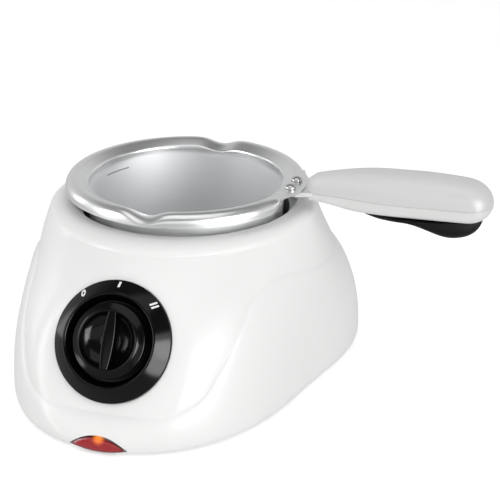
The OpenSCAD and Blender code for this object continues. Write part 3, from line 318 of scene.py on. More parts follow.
# %% The mirrored room
dim_level, wall_level, table_level = 0.22, 0.62, 0.5
right_patch = ((0.84, -0.52, 0.07), 0.26, 0.34, 13)
left_patch = ((-0.82, -0.55, 0.12), 0.1, 0.4, 6)
back_fade, left_fade, ceiling_fade, table_fade = (-0.35, 0.35), (-0.6, -0.95), (0.9, 0.45), (0.0, -0.12)
to_right, to_back, upwards = (parts.outputs[axis] for axis in "XYZ")
pale = math_of("MAXIMUM", ranged(to_back, *back_fade), ranged(to_right, *left_fade))
for fade in (ceiling_fade, table_fade[::-1]):
    pale = math_of("MULTIPLY", pale, ranged(upwards, *fade))
table = ranged(upwards, *table_fade)
level = math_of("ADD", dim_level, math_of("MULTIPLY", pale, wall_level))
level = math_of("ADD", level, math_of("MULTIPLY", table, table_level))
for patch in (right_patch, left_patch):
    level = math_of("ADD", level, mirrored_box(*patch))
links.new(level, mirrored.inputs["Strength"])

# %% Choose what each kind of ray sees
path = node(nodes, "LightPath")
choice = node(nodes, "MixShader")
links.new(path.outputs["Is Glossy Ray"], choice.inputs[0])
links.new(room.outputs[0], choice.inputs[1])
links.new(mirrored.outputs[0], choice.inputs[2])
split = node(nodes, "MixShader")
links.new(path.outputs["Is Camera Ray"], split.inputs[0])
links.new(choice.outputs[0], split.inputs[1])
links.new(white.outputs[0], split.inputs[2])
links.new(split.outputs[0], nodes["World Output"].inputs["Surface"])
bpy.context.scene.view_settings.view_transform = "Standard"
print("world nodes:", len(nodes))


# %% Lamps
def soft_lamp(name, place, aim, width, height, watts):
    data = bpy.data.lights.new(name, "AREA")
    data.shape = "RECTANGLE"
    data.size, data.size_y, data.energy = width, height, watts
    lamp = bpy.data.objects.new(name, data)
    bpy.context.scene.collection.objects.link(lamp)
    lamp.location = place
    lamp.rotation_mode = "QUATERNION"
    lamp.rotation_quaternion = (Vector(aim) - Vector(place)).to_track_quat("-Z", "Y")


heart = (0.02, 0, 0.05)
soft_lamp("left_box", (-1.1, -1.0, 0.75), heart, 0.6, 0.8, 3.0)
soft_lamp("left_strip", (-1.4, 0.15, 0.3), heart, 0.3, 0.8, 1.5)
soft_lamp("top_box", (0.1, -0.35, 1.45), heart, 1.4, 1.2, 5.5)
soft_lamp("right_box", (1.34, -0.62, 0.49), heart, 0.6, 0.8, 5)
soft_lamp("front_box", (0.2, -1.7, 0.5), heart, 2.2, 0.9, 5.2)

# %% [markdown]
# ## Finishes
# Every finish starts from Blender's Principled shader. Colours that are the same all over are set on its
# sockets; what varies comes from procedural textures in Object coordinates, so it stays on the piece when
# the piece moves: a fine moulded grain, small changes in gloss, and turned or brushed lines in metal.

# %% Moulded plastic
def plastic(name, colour, roughness, grain=900, depth=0.02, coat=0.0, spread=0.06, shine=0.5):
    material, nodes, links, base = new_material(name)
    base.inputs["Specular IOR Level"].default_value = shine
    base.inputs["Base Color"].default_value = (*colour, 1)
    base.inputs["Coat Weight"].default_value = coat
    base.inputs["Coat Roughness"].default_value = 0.05
    place = node(nodes, "TexCoord")
    fine = node(nodes, "TexNoise", Scale=grain, Detail=3.0)
    broad = node(nodes, "TexNoise", Scale=14.0, Detail=2.0)
    gloss = node(nodes, "MapRange")
    gloss.inputs["To Min"].default_value = max(roughness - spread, 0.02)
    gloss.inputs["To Max"].default_value = roughness + spread
    bump = node(nodes, "Bump", Strength=depth, Distance=0.0004)
    for texture in (fine, broad):
        links.new(place.outputs["Object"], texture.inputs["Vector"])
    links.new(broad.outputs["Fac"], gloss.inputs["Value"])
    links.new(gloss.outputs["Result"], base.inputs["Roughness"])
    links.new(fine.outputs["Fac"], bump.inputs["Height"])
    links.new(bump.outputs["Normal"], base.inputs["Normal"])
    tint = node(nodes, "MixRGB", blend_type="MIX")
    tint.inputs["Color1"].default_value = (*[c * 0.965 for c in colour], 1)
    tint.inputs["Color2"].default_value = (*colour, 1)
    links.new(broad.outputs["Fac"], tint.inputs["Fac"])
    links.new(tint.outputs["Color"], base.inputs["Base Color"])
    return material


# %% Metal with turned or drawn lines
def metal(name, colour, roughness, lines="turned", pitch=2600, depth=0.12, spread=0.08, matt_below=None):
    material, nodes, links, base = new_material(name)
    base.inputs["Metallic"].default_value = 1.0
    place = node(nodes, "TexCoord")
    split = node(nodes, "SeparateXYZ")
    links.new(place.outputs["Object"], split.inputs["Vector"])
    joined = node(nodes, "CombineXYZ")
    if lines == "turned":
        flat = node(nodes, "CombineXYZ")
        links.new(split.outputs["X"], flat.inputs["X"])
        links.new(split.outputs["Y"], flat.inputs["Y"])
        reach = node(nodes, "VectorMath", operation="LENGTH")
        links.new(flat.outputs["Vector"], reach.inputs[0])
        links.new(reach.outputs["Value"], joined.inputs["X"])
        links.new(split.outputs["Z"], joined.inputs["Y"])
    else:
        slow = node(nodes, "Math", operation="MULTIPLY")
        slow.inputs[1].default_value = 0.02
        links.new(split.outputs["X"], slow.inputs[0])
        links.new(slow.outputs["Value"], joined.inputs["X"])
        links.new(split.outputs["Y"], joined.inputs["Y"])
        links.new(split.outputs["Z"], joined.inputs["Z"])
    brush = node(nodes, "TexNoise", Scale=pitch, Detail=2.0)
    links.new(joined.outputs["Vector"], brush.inputs["Vector"])
    cloud = node(nodes, "TexNoise", Scale=22.0, Detail=3.0)
    links.new(place.outputs["Object"], cloud.inputs["Vector"])
    gloss = node(nodes, "MapRange")
    gloss.inputs["To Min"].default_value = max(roughness - spread, 0.03)
    gloss.inputs["To Max"].default_value = roughness + spread
    links.new(cloud.outputs["Fac"], gloss.inputs["Value"])
    links.new(gloss.outputs["Result"], base.inputs["Roughness"])
    if matt_below:
        matt = node(nodes, "MapRange")
        matt.inputs["From Min"].default_value, matt.inputs["From Max"].default_value = matt_below
        matt.inputs["To Min"].default_value, matt.inputs["To Max"].default_value = 0.3, 0.0
        total = node(nodes, "Math", operation="ADD")
        links.new(split.outputs["Z"], matt.inputs["Value"])
        links.new(gloss.outputs["Result"], total.inputs[0])
        links.new(matt.outputs["Result"], total.inputs[1])
        links.new(total.outputs["Value"], base.inputs["Roughness"])
    tint = node(nodes, "MixRGB", blend_type="MIX")
    tint.inputs["Color1"].default_value = (*[c * 0.9 for c in colour], 1)
    tint.inputs["Color2"].default_value = (*colour, 1)
    links.new(brush.outputs["Fac"], tint.inputs["Fac"])
    links.new(tint.outputs["Color"], base.inputs["Base Color"])
    bump = node(nodes, "Bump", Strength=depth, Distance=0.0001)
    links.new(brush.outputs["Fac"], bump.inputs["Height"])
    links.new(bump.outputs["Normal"], base.inputs["Normal"])
    return material


# %% The object's finishes
looks = {
    "housing_plastic": (plastic, (0.85, 0.85, 0.845), 0.36, dict(coat=0.12, depth=0.012)),
    "base_plastic": (plastic, (0.76, 0.76, 0.75), 0.5, dict(grain=1400, depth=0.1)),
    "foot_rubber": (plastic, (0.035, 0.035, 0.036), 0.8, dict(grain=1200, depth=0.25)),
    "dial_plastic": (plastic, (0.0015, 0.0015, 0.0016), 0.14, dict(depth=0.006, spread=0.03, shine=0.22)),
    "mark_white": (plastic, (0.86, 0.86, 0.86), 0.5, dict(depth=0.05)),
    "symbol_grey": (plastic, (0.26, 0.26, 0.27), 0.5, dict(depth=0.05)),
    "switch_plastic": (plastic, (0.022, 0.022, 0.025), 0.5, dict(depth=0.12)),
    "shaft_plastic": (plastic, (0.62, 0.62, 0.58), 0.4, dict(depth=0.05)),
    "thermostat_plastic": (plastic, (0.105, 0.034, 0.018), 0.45, dict(depth=0.1)),
    "heater_ceramic": (plastic, (0.46, 0.33, 0.2), 0.8, dict(grain=500, depth=0.4, spread=0.1)),
    "insulation_board": (plastic, (0.7, 0.62, 0.45), 0.9, dict(grain=260, depth=0.6, spread=0.05)),
    "fuse_shell": (plastic, (0.74, 0.68, 0.52), 0.45, dict(depth=0.08)),
    "block_plastic": (plastic, (0.72, 0.7, 0.62), 0.45, dict(depth=0.06)),
    "gland_plastic": (plastic, (0.74, 0.74, 0.735), 0.42, dict(depth=0.08)),
    # The upper shell's grey is partly its own slight grey and partly painted shade, for a top that gets less
    # light than the white lower shell.
    "handle_grey": (plastic, (0.63, 0.63, 0.63), 0.4, dict(coat=0.1, grain=1500, depth=0.03)),
    "handle_white": (plastic, (0.7, 0.7, 0.695), 0.3, dict(coat=0.2, depth=0.02)),
    "grip_rubber": (plastic, (0.0025, 0.0025, 0.0027), 0.55, dict(grain=1800, depth=0.3, shine=0.2)),
    "screw_steel": (metal, (0.6, 0.61, 0.62), 0.34, dict(pitch=1400)),
    "bracket_steel": (metal, (0.76, 0.765, 0.77), 0.36, dict(lines="drawn")),
    "well_aluminium": (metal, (0.84, 0.845, 0.85), 0.5, dict(depth=0.3)),
    "plate_aluminium": (metal, (0.5, 0.51, 0.52), 0.42, dict(pitch=1500, depth=0.5)),
    "pot_steel": (metal, (0.84, 0.845, 0.85), 0.29,
        dict(pitch=3600, depth=0.05, matt_below=(0.087, 0.0895))),
    "rivet_steel": (metal, (0.62, 0.62, 0.63), 0.14, dict(depth=0.02, spread=0.03)),
    "lead_brown": (plastic, (0.1, 0.035, 0.012), 0.5, dict(depth=0.05)),
    "lead_black": (plastic, (0.01, 0.01, 0.012), 0.5, dict(depth=0.05)),
    "lead_blue": (plastic, (0.02, 0.08, 0.33), 0.5, dict(depth=0.05)),
    "lead_red": (plastic, (0.36, 0.022, 0.016), 0.5, dict(depth=0.05)),
    "lead_yellow": (plastic, (0.58, 0.36, 0.02), 0.5, dict(depth=0.05)),
}
finish = {name: kind(name, colour, rough, **more) for name, (kind, colour, rough, more) in looks.items()}
print("finishes:", len(finish))


# %% [markdown]
# The indicator is moulded in clear red plastic over a small orange lamp. The lens's colour is painted darker
# along its rim, as painted shade where one looks through more of it, and it has a painted glow where the
# lamp sits behind it. The rim's painted shade is read from a value that the lens keeps at each of its
# points; the painted glow is a soft ball round the lamp.

# %% Lens and lamp
def lens_finish(lamp_place, glow_reach=0.0042):
    material, nodes, links, base = new_material("lens_plastic")
    base.inputs["Roughness"].default_value = 0.14
    base.inputs["Coat Weight"].default_value = 0.5
    base.inputs["Transmission Weight"].default_value = 0.15
    # Painted shade: the rim value darkens the red towards the lens's outline and over its whole back.
    rim = node(nodes, "Attribute", attribute_name="rim")
    ramp = node(nodes, "ValToRGB")
    ramp.color_ramp.elements[0].color = (0.44, 0.012, 0.02, 1)
    ramp.color_ramp.elements[1].color = (0.06, 0.0015, 0.004, 1)
    ramp.color_ramp.elements[0].position = 0.2
    ramp.color_ramp.elements[1].position = 0.75
    links.new(rim.outputs["Fac"], ramp.inputs["Fac"])
    streak = node(nodes, "TexWave", Scale=260.0, Distortion=1.5)
    place = node(nodes, "TexCoord")
    links.new(place.outputs["Object"], streak.inputs["Vector"])
    tint = node(nodes, "MixRGB", blend_type="MULTIPLY")
    tint.inputs["Fac"].default_value = 0.22
    links.new(ramp.outputs["Color"], tint.inputs["Color1"])
    links.new(streak.outputs["Fac"], tint.inputs["Color2"])
    links.new(tint.outputs["Color"], base.inputs["Base Color"])
    # Painted light: the lens itself glows orange round the lamp, where the lamp's light shines through it.
    away = node(nodes, "VectorMath", operation="DISTANCE")
    away.inputs[1].default_value = lamp_place
    links.new(place.outputs["Object"], away.inputs[0])
    near = node(nodes, "MapRange", interpolation_type="SMOOTHERSTEP")
    near.inputs["From Min"].default_value = glow_reach
    near.inputs["From Max"].default_value = 0.0
    links.new(away.outputs["Value"], near.inputs["Value"])
    base.inputs["Emission Color"].default_value = (1.0, 0.3, 0.02, 1)
    links.new(near.outputs["Result"], base.inputs["Emission Strength"])
    bump = node(nodes, "Bump", Strength=0.1, Distance=0.0003)
    links.new(streak.outputs["Fac"], bump.inputs["Height"])
    links.new(bump.outputs["Normal"], base.inputs["Normal"])
    return material


lamp_low, lamp_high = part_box("neon_lamp")
lens_low, lens_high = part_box("indicator_lens")
spot = Vector((0.0005, lens_low.y + 0.0015, lens_high.z - 0.0018))
finish["lens_plastic"] = lens_finish(spot)
lamp_back = (lamp_low.y + lamp_high.y) / 2 - lens_high.y
print("the lamp's middle lies", round(lamp_back / MM, 1), "mm behind the window")
lamp_glass, nodes, links, base = new_material("lamp_glass")
base.inputs["Base Color"].default_value = (1, 0.5, 0.18, 1)
base.inputs["Roughness"].default_value = 0.08
base.inputs["Emission Color"].default_value = (1, 0.3, 0.04, 1)
frost = node(nodes, "TexNoise", Scale=600.0)
heat = node(nodes, "MapRange")
heat.inputs["To Min"].default_value, heat.inputs["To Max"].default_value = 0.5, 1.2
links.new(frost.outputs["Fac"], heat.inputs["Value"])
links.new(heat.outputs["Result"], base.inputs["Emission Strength"])
finish["lamp_glass"] = lamp_glass

# %% [markdown]
# Each CAD node now gets the finish of the slot that its record names. Nodes that are modelled again below
# are hidden there; the others, such as the feet, the screws and the whole heater, show in this finish.

# %% Dress the CAD nodes
for part in frame["record"]["subparts"]:
    cad = frame["nodes"][part["node"]]
    cad.data.materials.clear()
    cad.data.materials.append(finish[part["material_slot"]])


# %% Hand a finished piece to its body
def hand_in(piece, body, slot, *nodes, angle=35, paint=None):
    smooth(piece, angle)
    piece.data.materials.clear()
    piece.data.materials.append(finish[paint or slot])
    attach(piece, body)
    if nodes:
        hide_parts(*nodes)
    clear()
    print(piece.name, "points:", len(piece.data.vertices))
    return piece


# %% [markdown]
# ## Housing
# The housing is one glossy moulding: a bell whose footprint reaches far to the front, with a flat panel
# for the dial and a cape line that steps in round the sides. Its form is a rule for the radius at each
# angle and height, so the grid is laid over that rule, out and up, over the rim and down inside.

# %% Footprint and bell
shoulder_r, widest_z, housing_h, wall = 66.0, 6.4, 83.0, 3.0
foot_gap, top_fillet, tuck = 1.5, 4.0, 4.0
dial_out, dial_z, dial_tilt = 99.4, 46.5, math.radians(29)
bell_power, panel_soft, cape_step = 2.38, 4, 1.6
reach = {"front": 123.0, "side": 82.0, "corner": 91.5, "back": 88.0}
middle = (reach["front"] + reach["back"]) / 2
swing = (reach["front"] - reach["back"]) / 2
term_0, term_2 = (middle + reach["side"]) / 2, (middle - reach["side"]) / 2
term_1 = (swing - (reach["corner"] - term_0 + term_2 / 2)) * 2 / 3
term_3 = swing - term_1


def footprint(a):
    return sum(term * math.cos(k * a) for k, term in enumerate((term_0, term_1, term_2, term_3)))


def away(a):
    return abs(math.degrees(math.remainder(a, math.tau)))


print("footprint at front, side and back:", [round(footprint(math.radians(q)), 1) for q in (0, 90, 180)])

# %% [markdown]
# The cape line has a height for each angle from the front. It runs low under the dial, climbs beside it
# and stays level round the back. A curve that keeps its slope at every knot leads through these heights.

# %% Cape line, smoothly through its knots
knots = [(0, 17), (12, 17.9), (18, 19.9), (24, 25.7), (28, 34.9), (33, 44.8), (38, 54), (42, 59.4),
         (48, 63.1), (55, 63.9), (62, 63.1), (70, 60.6), (80, 58.1), (90, 57), (111, 55), (140, 54),
         (180, 54)]


def cape_z(a):
    x = away(a)
    i = max(k for k in range(len(knots) - 1) if knots[k][0] <= x)
    (x0, y0), (x1, y1) = knots[i], knots[i + 1]
    before, after = knots[max(i - 1, 0)], knots[min(i + 2, len(knots) - 1)]
    slope_0 = (y1 - before[1]) / max(x1 - before[0], 1) if i else 0
    slope_1 = (after[1] - y0) / max(after[0] - x0, 1) if i + 2 < len(knots) else 0
    t, w = (x - x0) / (x1 - x0), x1 - x0
    return ((2 * t**3 - 3 * t**2 + 1) * y0 + (t**3 - 2 * t**2 + t) * w * slope_0
            + (3 * t**2 - 2 * t**3) * y1 + (t**3 - t**2) * w * slope_1)


# %% Radius of the wall at an angle and a height
def wall_r(a, z):
    u = min(max((z - widest_z) / (housing_h - widest_z), 0), 1)
    power = 1 - 0.2 * blend((away(a) - 25) / 50) + blend((away(a) - 75) / 50)
    bell = shoulder_r + (footprint(a) - shoulder_r) * (1 - u**bell_power) ** power
    panel = (dial_out - (z - dial_z) * math.tan(dial_tilt)) / max(math.cos(a), 0.2)
    h = min(max((1 + (panel - bell) / panel_soft) / 2, 0), 1)
    r = panel + (bell - panel) * h - panel_soft * h * (1 - h)
    s = z - cape_z(a)
    step = cape_step * (1 - 0.6 * math.exp(-(((away(a) - 34) / 6) ** 2)))
    r -= step * (math.exp(-s / 12) if s > 0 else math.exp(s / 2))
    t = min(max(1 - z / widest_z, 0), 1)
    return r - tuck * (1 - math.sqrt(1 - t * t))


print("front wall at its widest and at the dial:", [round(wall_r(0, z), 1) for z in (widest_z, dial_z)])

# %% One upright section of the moulding
tuck_marks = [0, 0.03, 0.08, 0.16, 0.28, 0.42, 0.6, 0.8, 1]
cape_marks = [-6, -4, -2.8, -2, -1.3, -0.8, -0.4, 0, 0.4, 1, 2, 3.5]
mouth_r, ledge_z = 56.0, 76.0
collar_in, collar_out, collar_low = 53.6, 59.0, 74.0
roof_z, room_r = 80.0, 60.5


def section(a):
    low, high = widest_z, housing_h - top_fillet
    cape = cape_z(a)
    levels = [mix(foot_gap, low, s) for s in tuck_marks]
    levels += [mix(low, cape - 7, k / 8) for k in range(1, 9)]
    levels += [cape + m for m in cape_marks]
    levels += [mix(cape + 3.5, high, k / 20) for k in range(1, 21)]
    points = [(wall_r(a, z), z) for z in levels]
    r = points[-1][0]
    points += [(r - (r - shoulder_r + top_fillet) * (1 - math.cos(t)), high + top_fillet * math.sin(t))
               for t in (math.radians(q) for q in (15, 30, 45, 60, 75, 90))]
    points += [(mouth_r + 1.2, housing_h), (mouth_r + 0.5, housing_h - 0.1),
               (mouth_r + 0.1, housing_h - 0.5), (mouth_r, housing_h - 1), (mouth_r, ledge_z),
               (collar_in, ledge_z), (collar_in, collar_low), (collar_out, collar_low),
               (collar_out, roof_z)]
    inner = [mix(roof_z, foot_gap, k / 12) for k in range(13)]
    points += [(max(wall_r(a, min(z, high)) - wall, room_r), z) for z in inner]
    return points + [points[0]]


# %% Lay the housing's grid
columns = 240
ring = [section(math.tau * i / columns) for i in range(columns)]


def housing_rule(i, j):
    a = math.tau * i / columns
    r, z = ring[i % columns][j]
    return r * math.sin(a), -r * math.cos(a), z


housing = laid_grid("housing_shell", columns, len(ring[0]) - 1, housing_rule)
close(housing)
print("housing rows:", len(ring[0]) - 1)

# %% [markdown]
# The dial's round seat, the bore for the switch, the eye-shaped window of the indicator and the hole for
# the cord gland are cut with cylinders, and four posts for the base screws are joined on inside.

# %% Dial frame
dial_turn = Matrix.Rotation(math.pi / 2 - dial_tilt, 4, "X")
dial_place = Matrix.Translation(Vector((0, -dial_out, dial_z)) * MM) @ dial_turn


def cylinder(name, r, low, high, steps=96, turn=None):
    clear()
    bpy.ops.mesh.primitive_cylinder_add(vertices=steps, radius=r * MM, depth=(high - low) * MM,
                                        location=(0, 0, (low + high) / 2 * MM))
    piece = added(name)
    bpy.ops.object.transform_apply(location=True, rotation=True, scale=True)
    if turn is not None:
        piece.data.transform(turn)
    return piece


# %% Cut the dial's seat and the switch's bore
seat_r, seat_depth, bore_r = 28.65, 1.2, 5.2
carve(housing, cylinder("seat_cutter", seat_r, -seat_depth, 12, 160, dial_place))
carve(housing, cylinder("bore_cutter", bore_r, -6, 2, 64, dial_place))
print("points with the dial's seat:", len(housing.data.vertices))

# %% [markdown]
# The indicator's window has the form of an eye: a high arc above and a flat one below, which meet in two
# points. Where two large lying cylinders overlap, they leave just this form, and that tool cuts the window.

# %% The window's two arcs
lens_half, lens_tip_z, lens_rise, lens_sag = 14.2, 2.8, 5.7, 1.9


def arc_r(rise):
    return (lens_half**2 + rise**2) / (2 * rise)


upper_z, lower_z = lens_tip_z + lens_rise - arc_r(lens_rise), lens_tip_z - lens_sag + arc_r(lens_sag)


def eye_arc(x, shrink=0.0):
    top = upper_z + math.sqrt((arc_r(lens_rise) - shrink) ** 2 - x * x)
    low = lower_z - math.sqrt((arc_r(lens_sag) - shrink) ** 2 - x * x)
    return low, top


# %% Cut the window and the gland's hole
gland_z, gland_r = 16, 6.35


def lying(z):
    return Matrix.Translation(Vector((0, 0, z)) * MM) @ Matrix.Rotation(math.pi / 2, 4, "X")


window = cylinder("window_cutter", arc_r(lens_rise), 60, 140, 256, lying(upper_z))
carve(window, cylinder("window_arc", arc_r(lens_sag), 50, 150, 512, lying(lower_z)), "INTERSECT")
carve(housing, window)
gland_spot = Matrix.Translation(Vector((0, reach["back"], gland_z)) * MM)
gland_place = gland_spot @ Matrix.Rotation(-math.pi / 2, 4, "X")
carve(housing, cylinder("gland_cutter", gland_r, -9, 6, 64, gland_place))
print("window height:", round(lens_rise + lens_sag, 1), "mm")

# %% Posts for the base screws
post_turns, post_inset = (38, 142, 218, 322), 15
post_r, post_low, post_high = 5, 5.1, 41.5
pilot_r, pilot_low, pilot_high = 1.65, 4, 17.5
for degrees in post_turns:
    a = math.radians(degrees)
    r = footprint(a) - post_inset
    move = Matrix.Translation(Vector((r * math.sin(a), -r * math.cos(a), 0)) * MM)
    post = cylinder("post", post_r, post_low, post_high, 48, move)
    carve(post, cylinder("pilot", pilot_r, pilot_low, pilot_high, 32, move))
    join(housing, post)
hand_in(housing, "base", "housing_plastic", "housing", angle=32)

# %% [markdown]
# ## Indicator lens
# The lens fills the window down at the front edge. It is a patch of the same wall. Its rim lies just
# below the wall's surface, and its middle is crowned. Each column of the grid runs from the lower edge up
# to the window's arc, so the two ends close to points. Its points keep how near they lie to the rim, for
# the painted shade that darkens the lens along its rim.

# %% Lens
lens_columns, lens_rows = 64, 16
lens_reach, lens_gap, lens_front = 14.1, 0.06, 121.5
lens_sunk, lens_crown, lens_thick, tuck_end = 0.1, 0.9, 2.2, 3.6
rim_shade_wide = 1.5


def lens_point(i, j, depth):
    x = mix(-lens_reach, lens_reach, i / lens_columns)
    low, top = eye_arc(x, lens_gap)
    z = mix(low, max(top, low + 0.02), j / lens_rows)
    a = math.asin(x / lens_front)
    edge = min(j, lens_rows - j) / lens_rows * 2
    crown = lens_crown * math.sqrt(max(min(edge * (1 - (x / lens_half) ** 2) * 2.2, 1), 0))
    r = wall_r(a, max(z, tuck_end)) - lens_sunk + crown - depth
    return r * math.sin(a), -r * math.cos(a), z


lens = laid_grid("indicator_window", lens_columns, lens_rows, lambda i, j: lens_point(i, j, 0))
back = laid_grid("lens_back", lens_columns, lens_rows, lambda i, j: lens_point(i, j, lens_thick))
# The rim value carries the painted shade: it rises towards the outline on the front and is full on the back.
rim = lens.data.attributes.new("rim", "FLOAT", "POINT")
back_rim = back.data.attributes.new("rim", "FLOAT", "POINT")
for index, vertex in enumerate(lens.data.vertices):
    x, z = vertex.co.x / MM, vertex.co.z / MM
    low, top = eye_arc(x)
    gap = min(top - z, z - low, (lens_half - abs(x)) * 0.35)
    rim.data[index].value = max(0, 1 - gap / rim_shade_wide)
    back_rim.data[index].value = 1
join(lens, back)
choose(lens, "EDGE", lambda e: False)
bpy.ops.mesh.select_non_manifold(extend=False, use_wire=False, use_multi_face=False,
                                 use_non_contiguous=False, use_verts=False)
bpy.ops.mesh.bridge_edge_loops()
close(lens)
hand_in(lens, "base", "lens_plastic", "indicator_lens", angle=50)

# %% [markdown]
# ## Dial plate
# A glossy black ring is pressed into the seat. Its flange slopes up to a narrow crest and drops into a
# dish round the knob. It is turned from one profile whose corners are small arcs, because those thin
# rounded edges catch the light as fine bright lines.

# %% Dial plate
hole_r, plate_back, dish_z = 9.6, -1.2, 1.2
dish_end, crest_at, rim_at, rim_end = (18.5, 2.1), (21.9, 5.0), (27.7, 0.5), (28.5, -1.0)
bezel_profile = (
    [(hole_r, plate_back), (hole_r, dish_z - 0.2)] + arc(hole_r + 0.2, dish_z - 0.2, 0.2, 180, 90, 3)
    + [(14, dish_z), (dish_end[0] - 0.1, dish_z)] + arc(*dish_end, 0.9, 270, 325, 5)
    + arc(*crest_at, 1.0, 140, 50, 11) + arc(*rim_at, 0.8, 50, 0, 6)
    + [rim_end, (28.3, plate_back), (27.2, plate_back), (26.6, -0.4), (22.4, 4.0), (20, 0), (11.2, -0.2),
       (11, plate_back), (hole_r, plate_back)])
bezel = lathe("dial_plate", bezel_profile, 160)
bezel.data.transform(dial_place)
close(bezel)
hand_in(bezel, "base", "dial_plastic", "dial_bezel", angle=40)

# %% [markdown]
# The settings are plain marks printed on the flange: a nought, one stroke and two strokes. Each is a thin
# raised shape, tilted with the flange and turned to its place round the shaft.

# %% Marks on the dial plate
flange_top, flange_foot = (22.51, 5.81), (28.21, 1.11)
mark_at, mark_thick = (26.2, 2.86), 0.24
slope = math.atan2(flange_top[1] - flange_foot[1], flange_foot[0] - flange_top[0])
flange_mid = Matrix.Translation(Vector((0, *mark_at)) * MM) @ Matrix.Rotation(-slope, 4, "X")


def set_mark(piece, degrees, side=0.0, lean=0.0):
    piece.data.transform(Matrix.Rotation(-math.radians(lean), 4, "Z")
                         @ Matrix.Translation(Vector((side, 0, 0)) * MM))
    turn = Matrix.Rotation(-math.radians(degrees), 4, "Z")
    piece.data.transform(dial_place @ turn @ flange_mid)
    hand_in(piece, "base", "dial_plastic", angle=30, paint="mark_white")


def stroke(name, width, length):
    clear()
    bpy.ops.mesh.primitive_cube_add(size=MM)
    piece = added(name)
    piece.data.transform(Matrix.Diagonal((width, length, mark_thick, 1)))
    apply_modifier(piece, "BEVEL", width=0.08 * MM, segments=2)
    return piece


set_mark(stroke("mark_one", 1.15, 3.4), 0)
set_mark(stroke("mark_two_left", 0.95, 4.0), 44, -0.85, 10)
set_mark(stroke("mark_two_right", 0.95, 4.0), 44, 0.85, 10)
ring_out, ring_in, ring_z, ring_round = 1.45, 0.62, mark_thick / 2, 0.02
nought = lathe("mark_nought", [
    (ring_out, -ring_z), (ring_out, ring_z - ring_round), (ring_out - 0.1, ring_z), (ring_in + 0.08, ring_z),
    (ring_in, ring_z - ring_round), (ring_in, -ring_z), (ring_out, -ring_z)], 48)
close(nought)
nought.data.transform(Matrix.Diagonal((0.84, 1.5, 1, 1)))
set_mark(nought, -40, 0, 14)
print("marks stand", mark_at[0], "mm from the dial's axis")

# %% [markdown]
# ## Knob
# The knob has a thin skirt, a low round cap dished on both sides, and a raised bar to hold. The cap is
# turned from a profile. The bar starts as a cube, is cut into slices along its length, and the slices are
# moved in towards both ends, so that the bar bows out in the middle. Its edges are bevelled for the light.

# %% Cap of the knob
knob_low, skirt_r, cap_r = 1.5, 17.2, 16.8
cap_profile = (
    [(0, knob_low), (skirt_r, knob_low)] + arc(skirt_r, knob_low + 0.4, 0.4, 270, 360, 4)
    + arc(cap_r, 5.3, 0.8, 0, 62, 7) + [(15.4, 6.5)] + arc(13.8, 6.7, 0.8, 45, 115, 6)
    + [(12.7, 6.2), (11.6, 4.8), (10.2, 3.7), (8.4, 2.9), (6.4, 2.5), (4, 2.4), (0, 2.4)])
knob = lathe("setting_knob", cap_profile, 160)
close(knob)
print("cap rises to", round(max(z for r, z in cap_profile), 1), "mm over the panel")

# %% Bar of the knob
bar_wide, bar_long, bar_high, bar_z = 7.0, 28.4, 5.0, 4.6
bar_half, slices, waist = 14, 24, 0.42
top_share, foot_share = 0.8, 1.3
clear()
bpy.ops.mesh.primitive_cube_add(size=MM)
bar = added("bar")
bar.data.transform(Matrix.Diagonal((bar_wide, bar_long, bar_high, 1)))
bar.data.transform(Matrix.Translation(Vector((0, 0, bar_z)) * MM))
for k in range(1, slices):
    edit(bar)
    bpy.ops.mesh.bisect(plane_co=(0, mix(-bar_half, bar_half, k / slices) * MM, 0), plane_no=(0, 1, 0))
bpy.ops.object.mode_set(mode="OBJECT")
for vertex in bar.data.vertices:
    along = vertex.co.y / (bar_half * MM)
    bow = 1 - waist * along * along
    vertex.co.x *= bow * (top_share if vertex.co.z > 5 * MM else foot_share)
apply_modifier(bar, "BEVEL", width=0.45 * MM, segments=3, limit_method="ANGLE", angle_limit=math.radians(50))
carve(knob, bar, "UNION")
carve(knob, cylinder("shaft_seat", 3.0, 0, 6.35, 48))
knob.data.transform(dial_place)
hand_in(knob, "knob_unit", "dial_plastic", "control_knob", angle=38)

# %% [markdown]
# ## Pot
# The insert is one sheet of stainless steel: floor, wall, a small inner edge, a lip that rises to a crest
# and rolls down. It is laid as a grid over its inner surface and thickened afterwards. Two pinches in the
# lip make spouts, and towards the handle the roll is opened and its sheet drawn out flat into a tongue.

# %% Pot section
pot_low, pot_r, floor_r, floor_bend, sheet = 38.2, 48.9, 46.5, 5.1, 0.9
rim_z, crest_z, lip_reach, roll_r, inner_r = 92.4, 94.8, 60.3, 4.7, 1.5
roll_c = (lip_reach - roll_r, crest_z - roll_r)
edge_c = (pot_r + inner_r, rim_z - inner_r)
run = (roll_c[0] - edge_c[0], roll_c[1] - edge_c[1])
lip_turn = math.degrees(math.atan2(run[1], run[0]) + math.acos((inner_r - roll_r) / math.hypot(*run)))
wall_top = rim_z - inner_r
wall_foot = pot_low + sheet + floor_bend
tongue_turn = 62
pot_profile = [(floor_r * k / 10, pot_low + sheet) for k in range(9)]
pot_profile += arc(floor_r - floor_bend, wall_foot, floor_bend, 270, 360, 8)
pot_profile += [(mix(floor_r, pot_r, k / 10), mix(wall_foot, wall_top, k / 10)) for k in range(1, 10)]
pot_profile += arc(*edge_c, inner_r, 180, lip_turn, 7)
crest_rows = 14
first_crest_row = len(pot_profile)
pot_profile += arc(*roll_c, roll_r, lip_turn, tongue_turn, crest_rows - 1)
last_crest_row = len(pot_profile) - 1
pot_profile += arc(*roll_c, roll_r, tongue_turn, 0, 10)[1:]
pot_profile += [(lip_reach, roll_c[1] - 0.9), (lip_reach - 0.05, roll_c[1] - 1.7)]
print("points across the pot's section:", len(pot_profile))

# %% Lay the pot's grid, with its spouts and the flat root of the tongue
pot_columns = 216
spout_half, spout_drop, spout_out, spout_from = 7.4, 3.1, 0.6, 87.5
tongue_z, root_r, root_half, root_fade = 94.45, 53.4, 27, 7


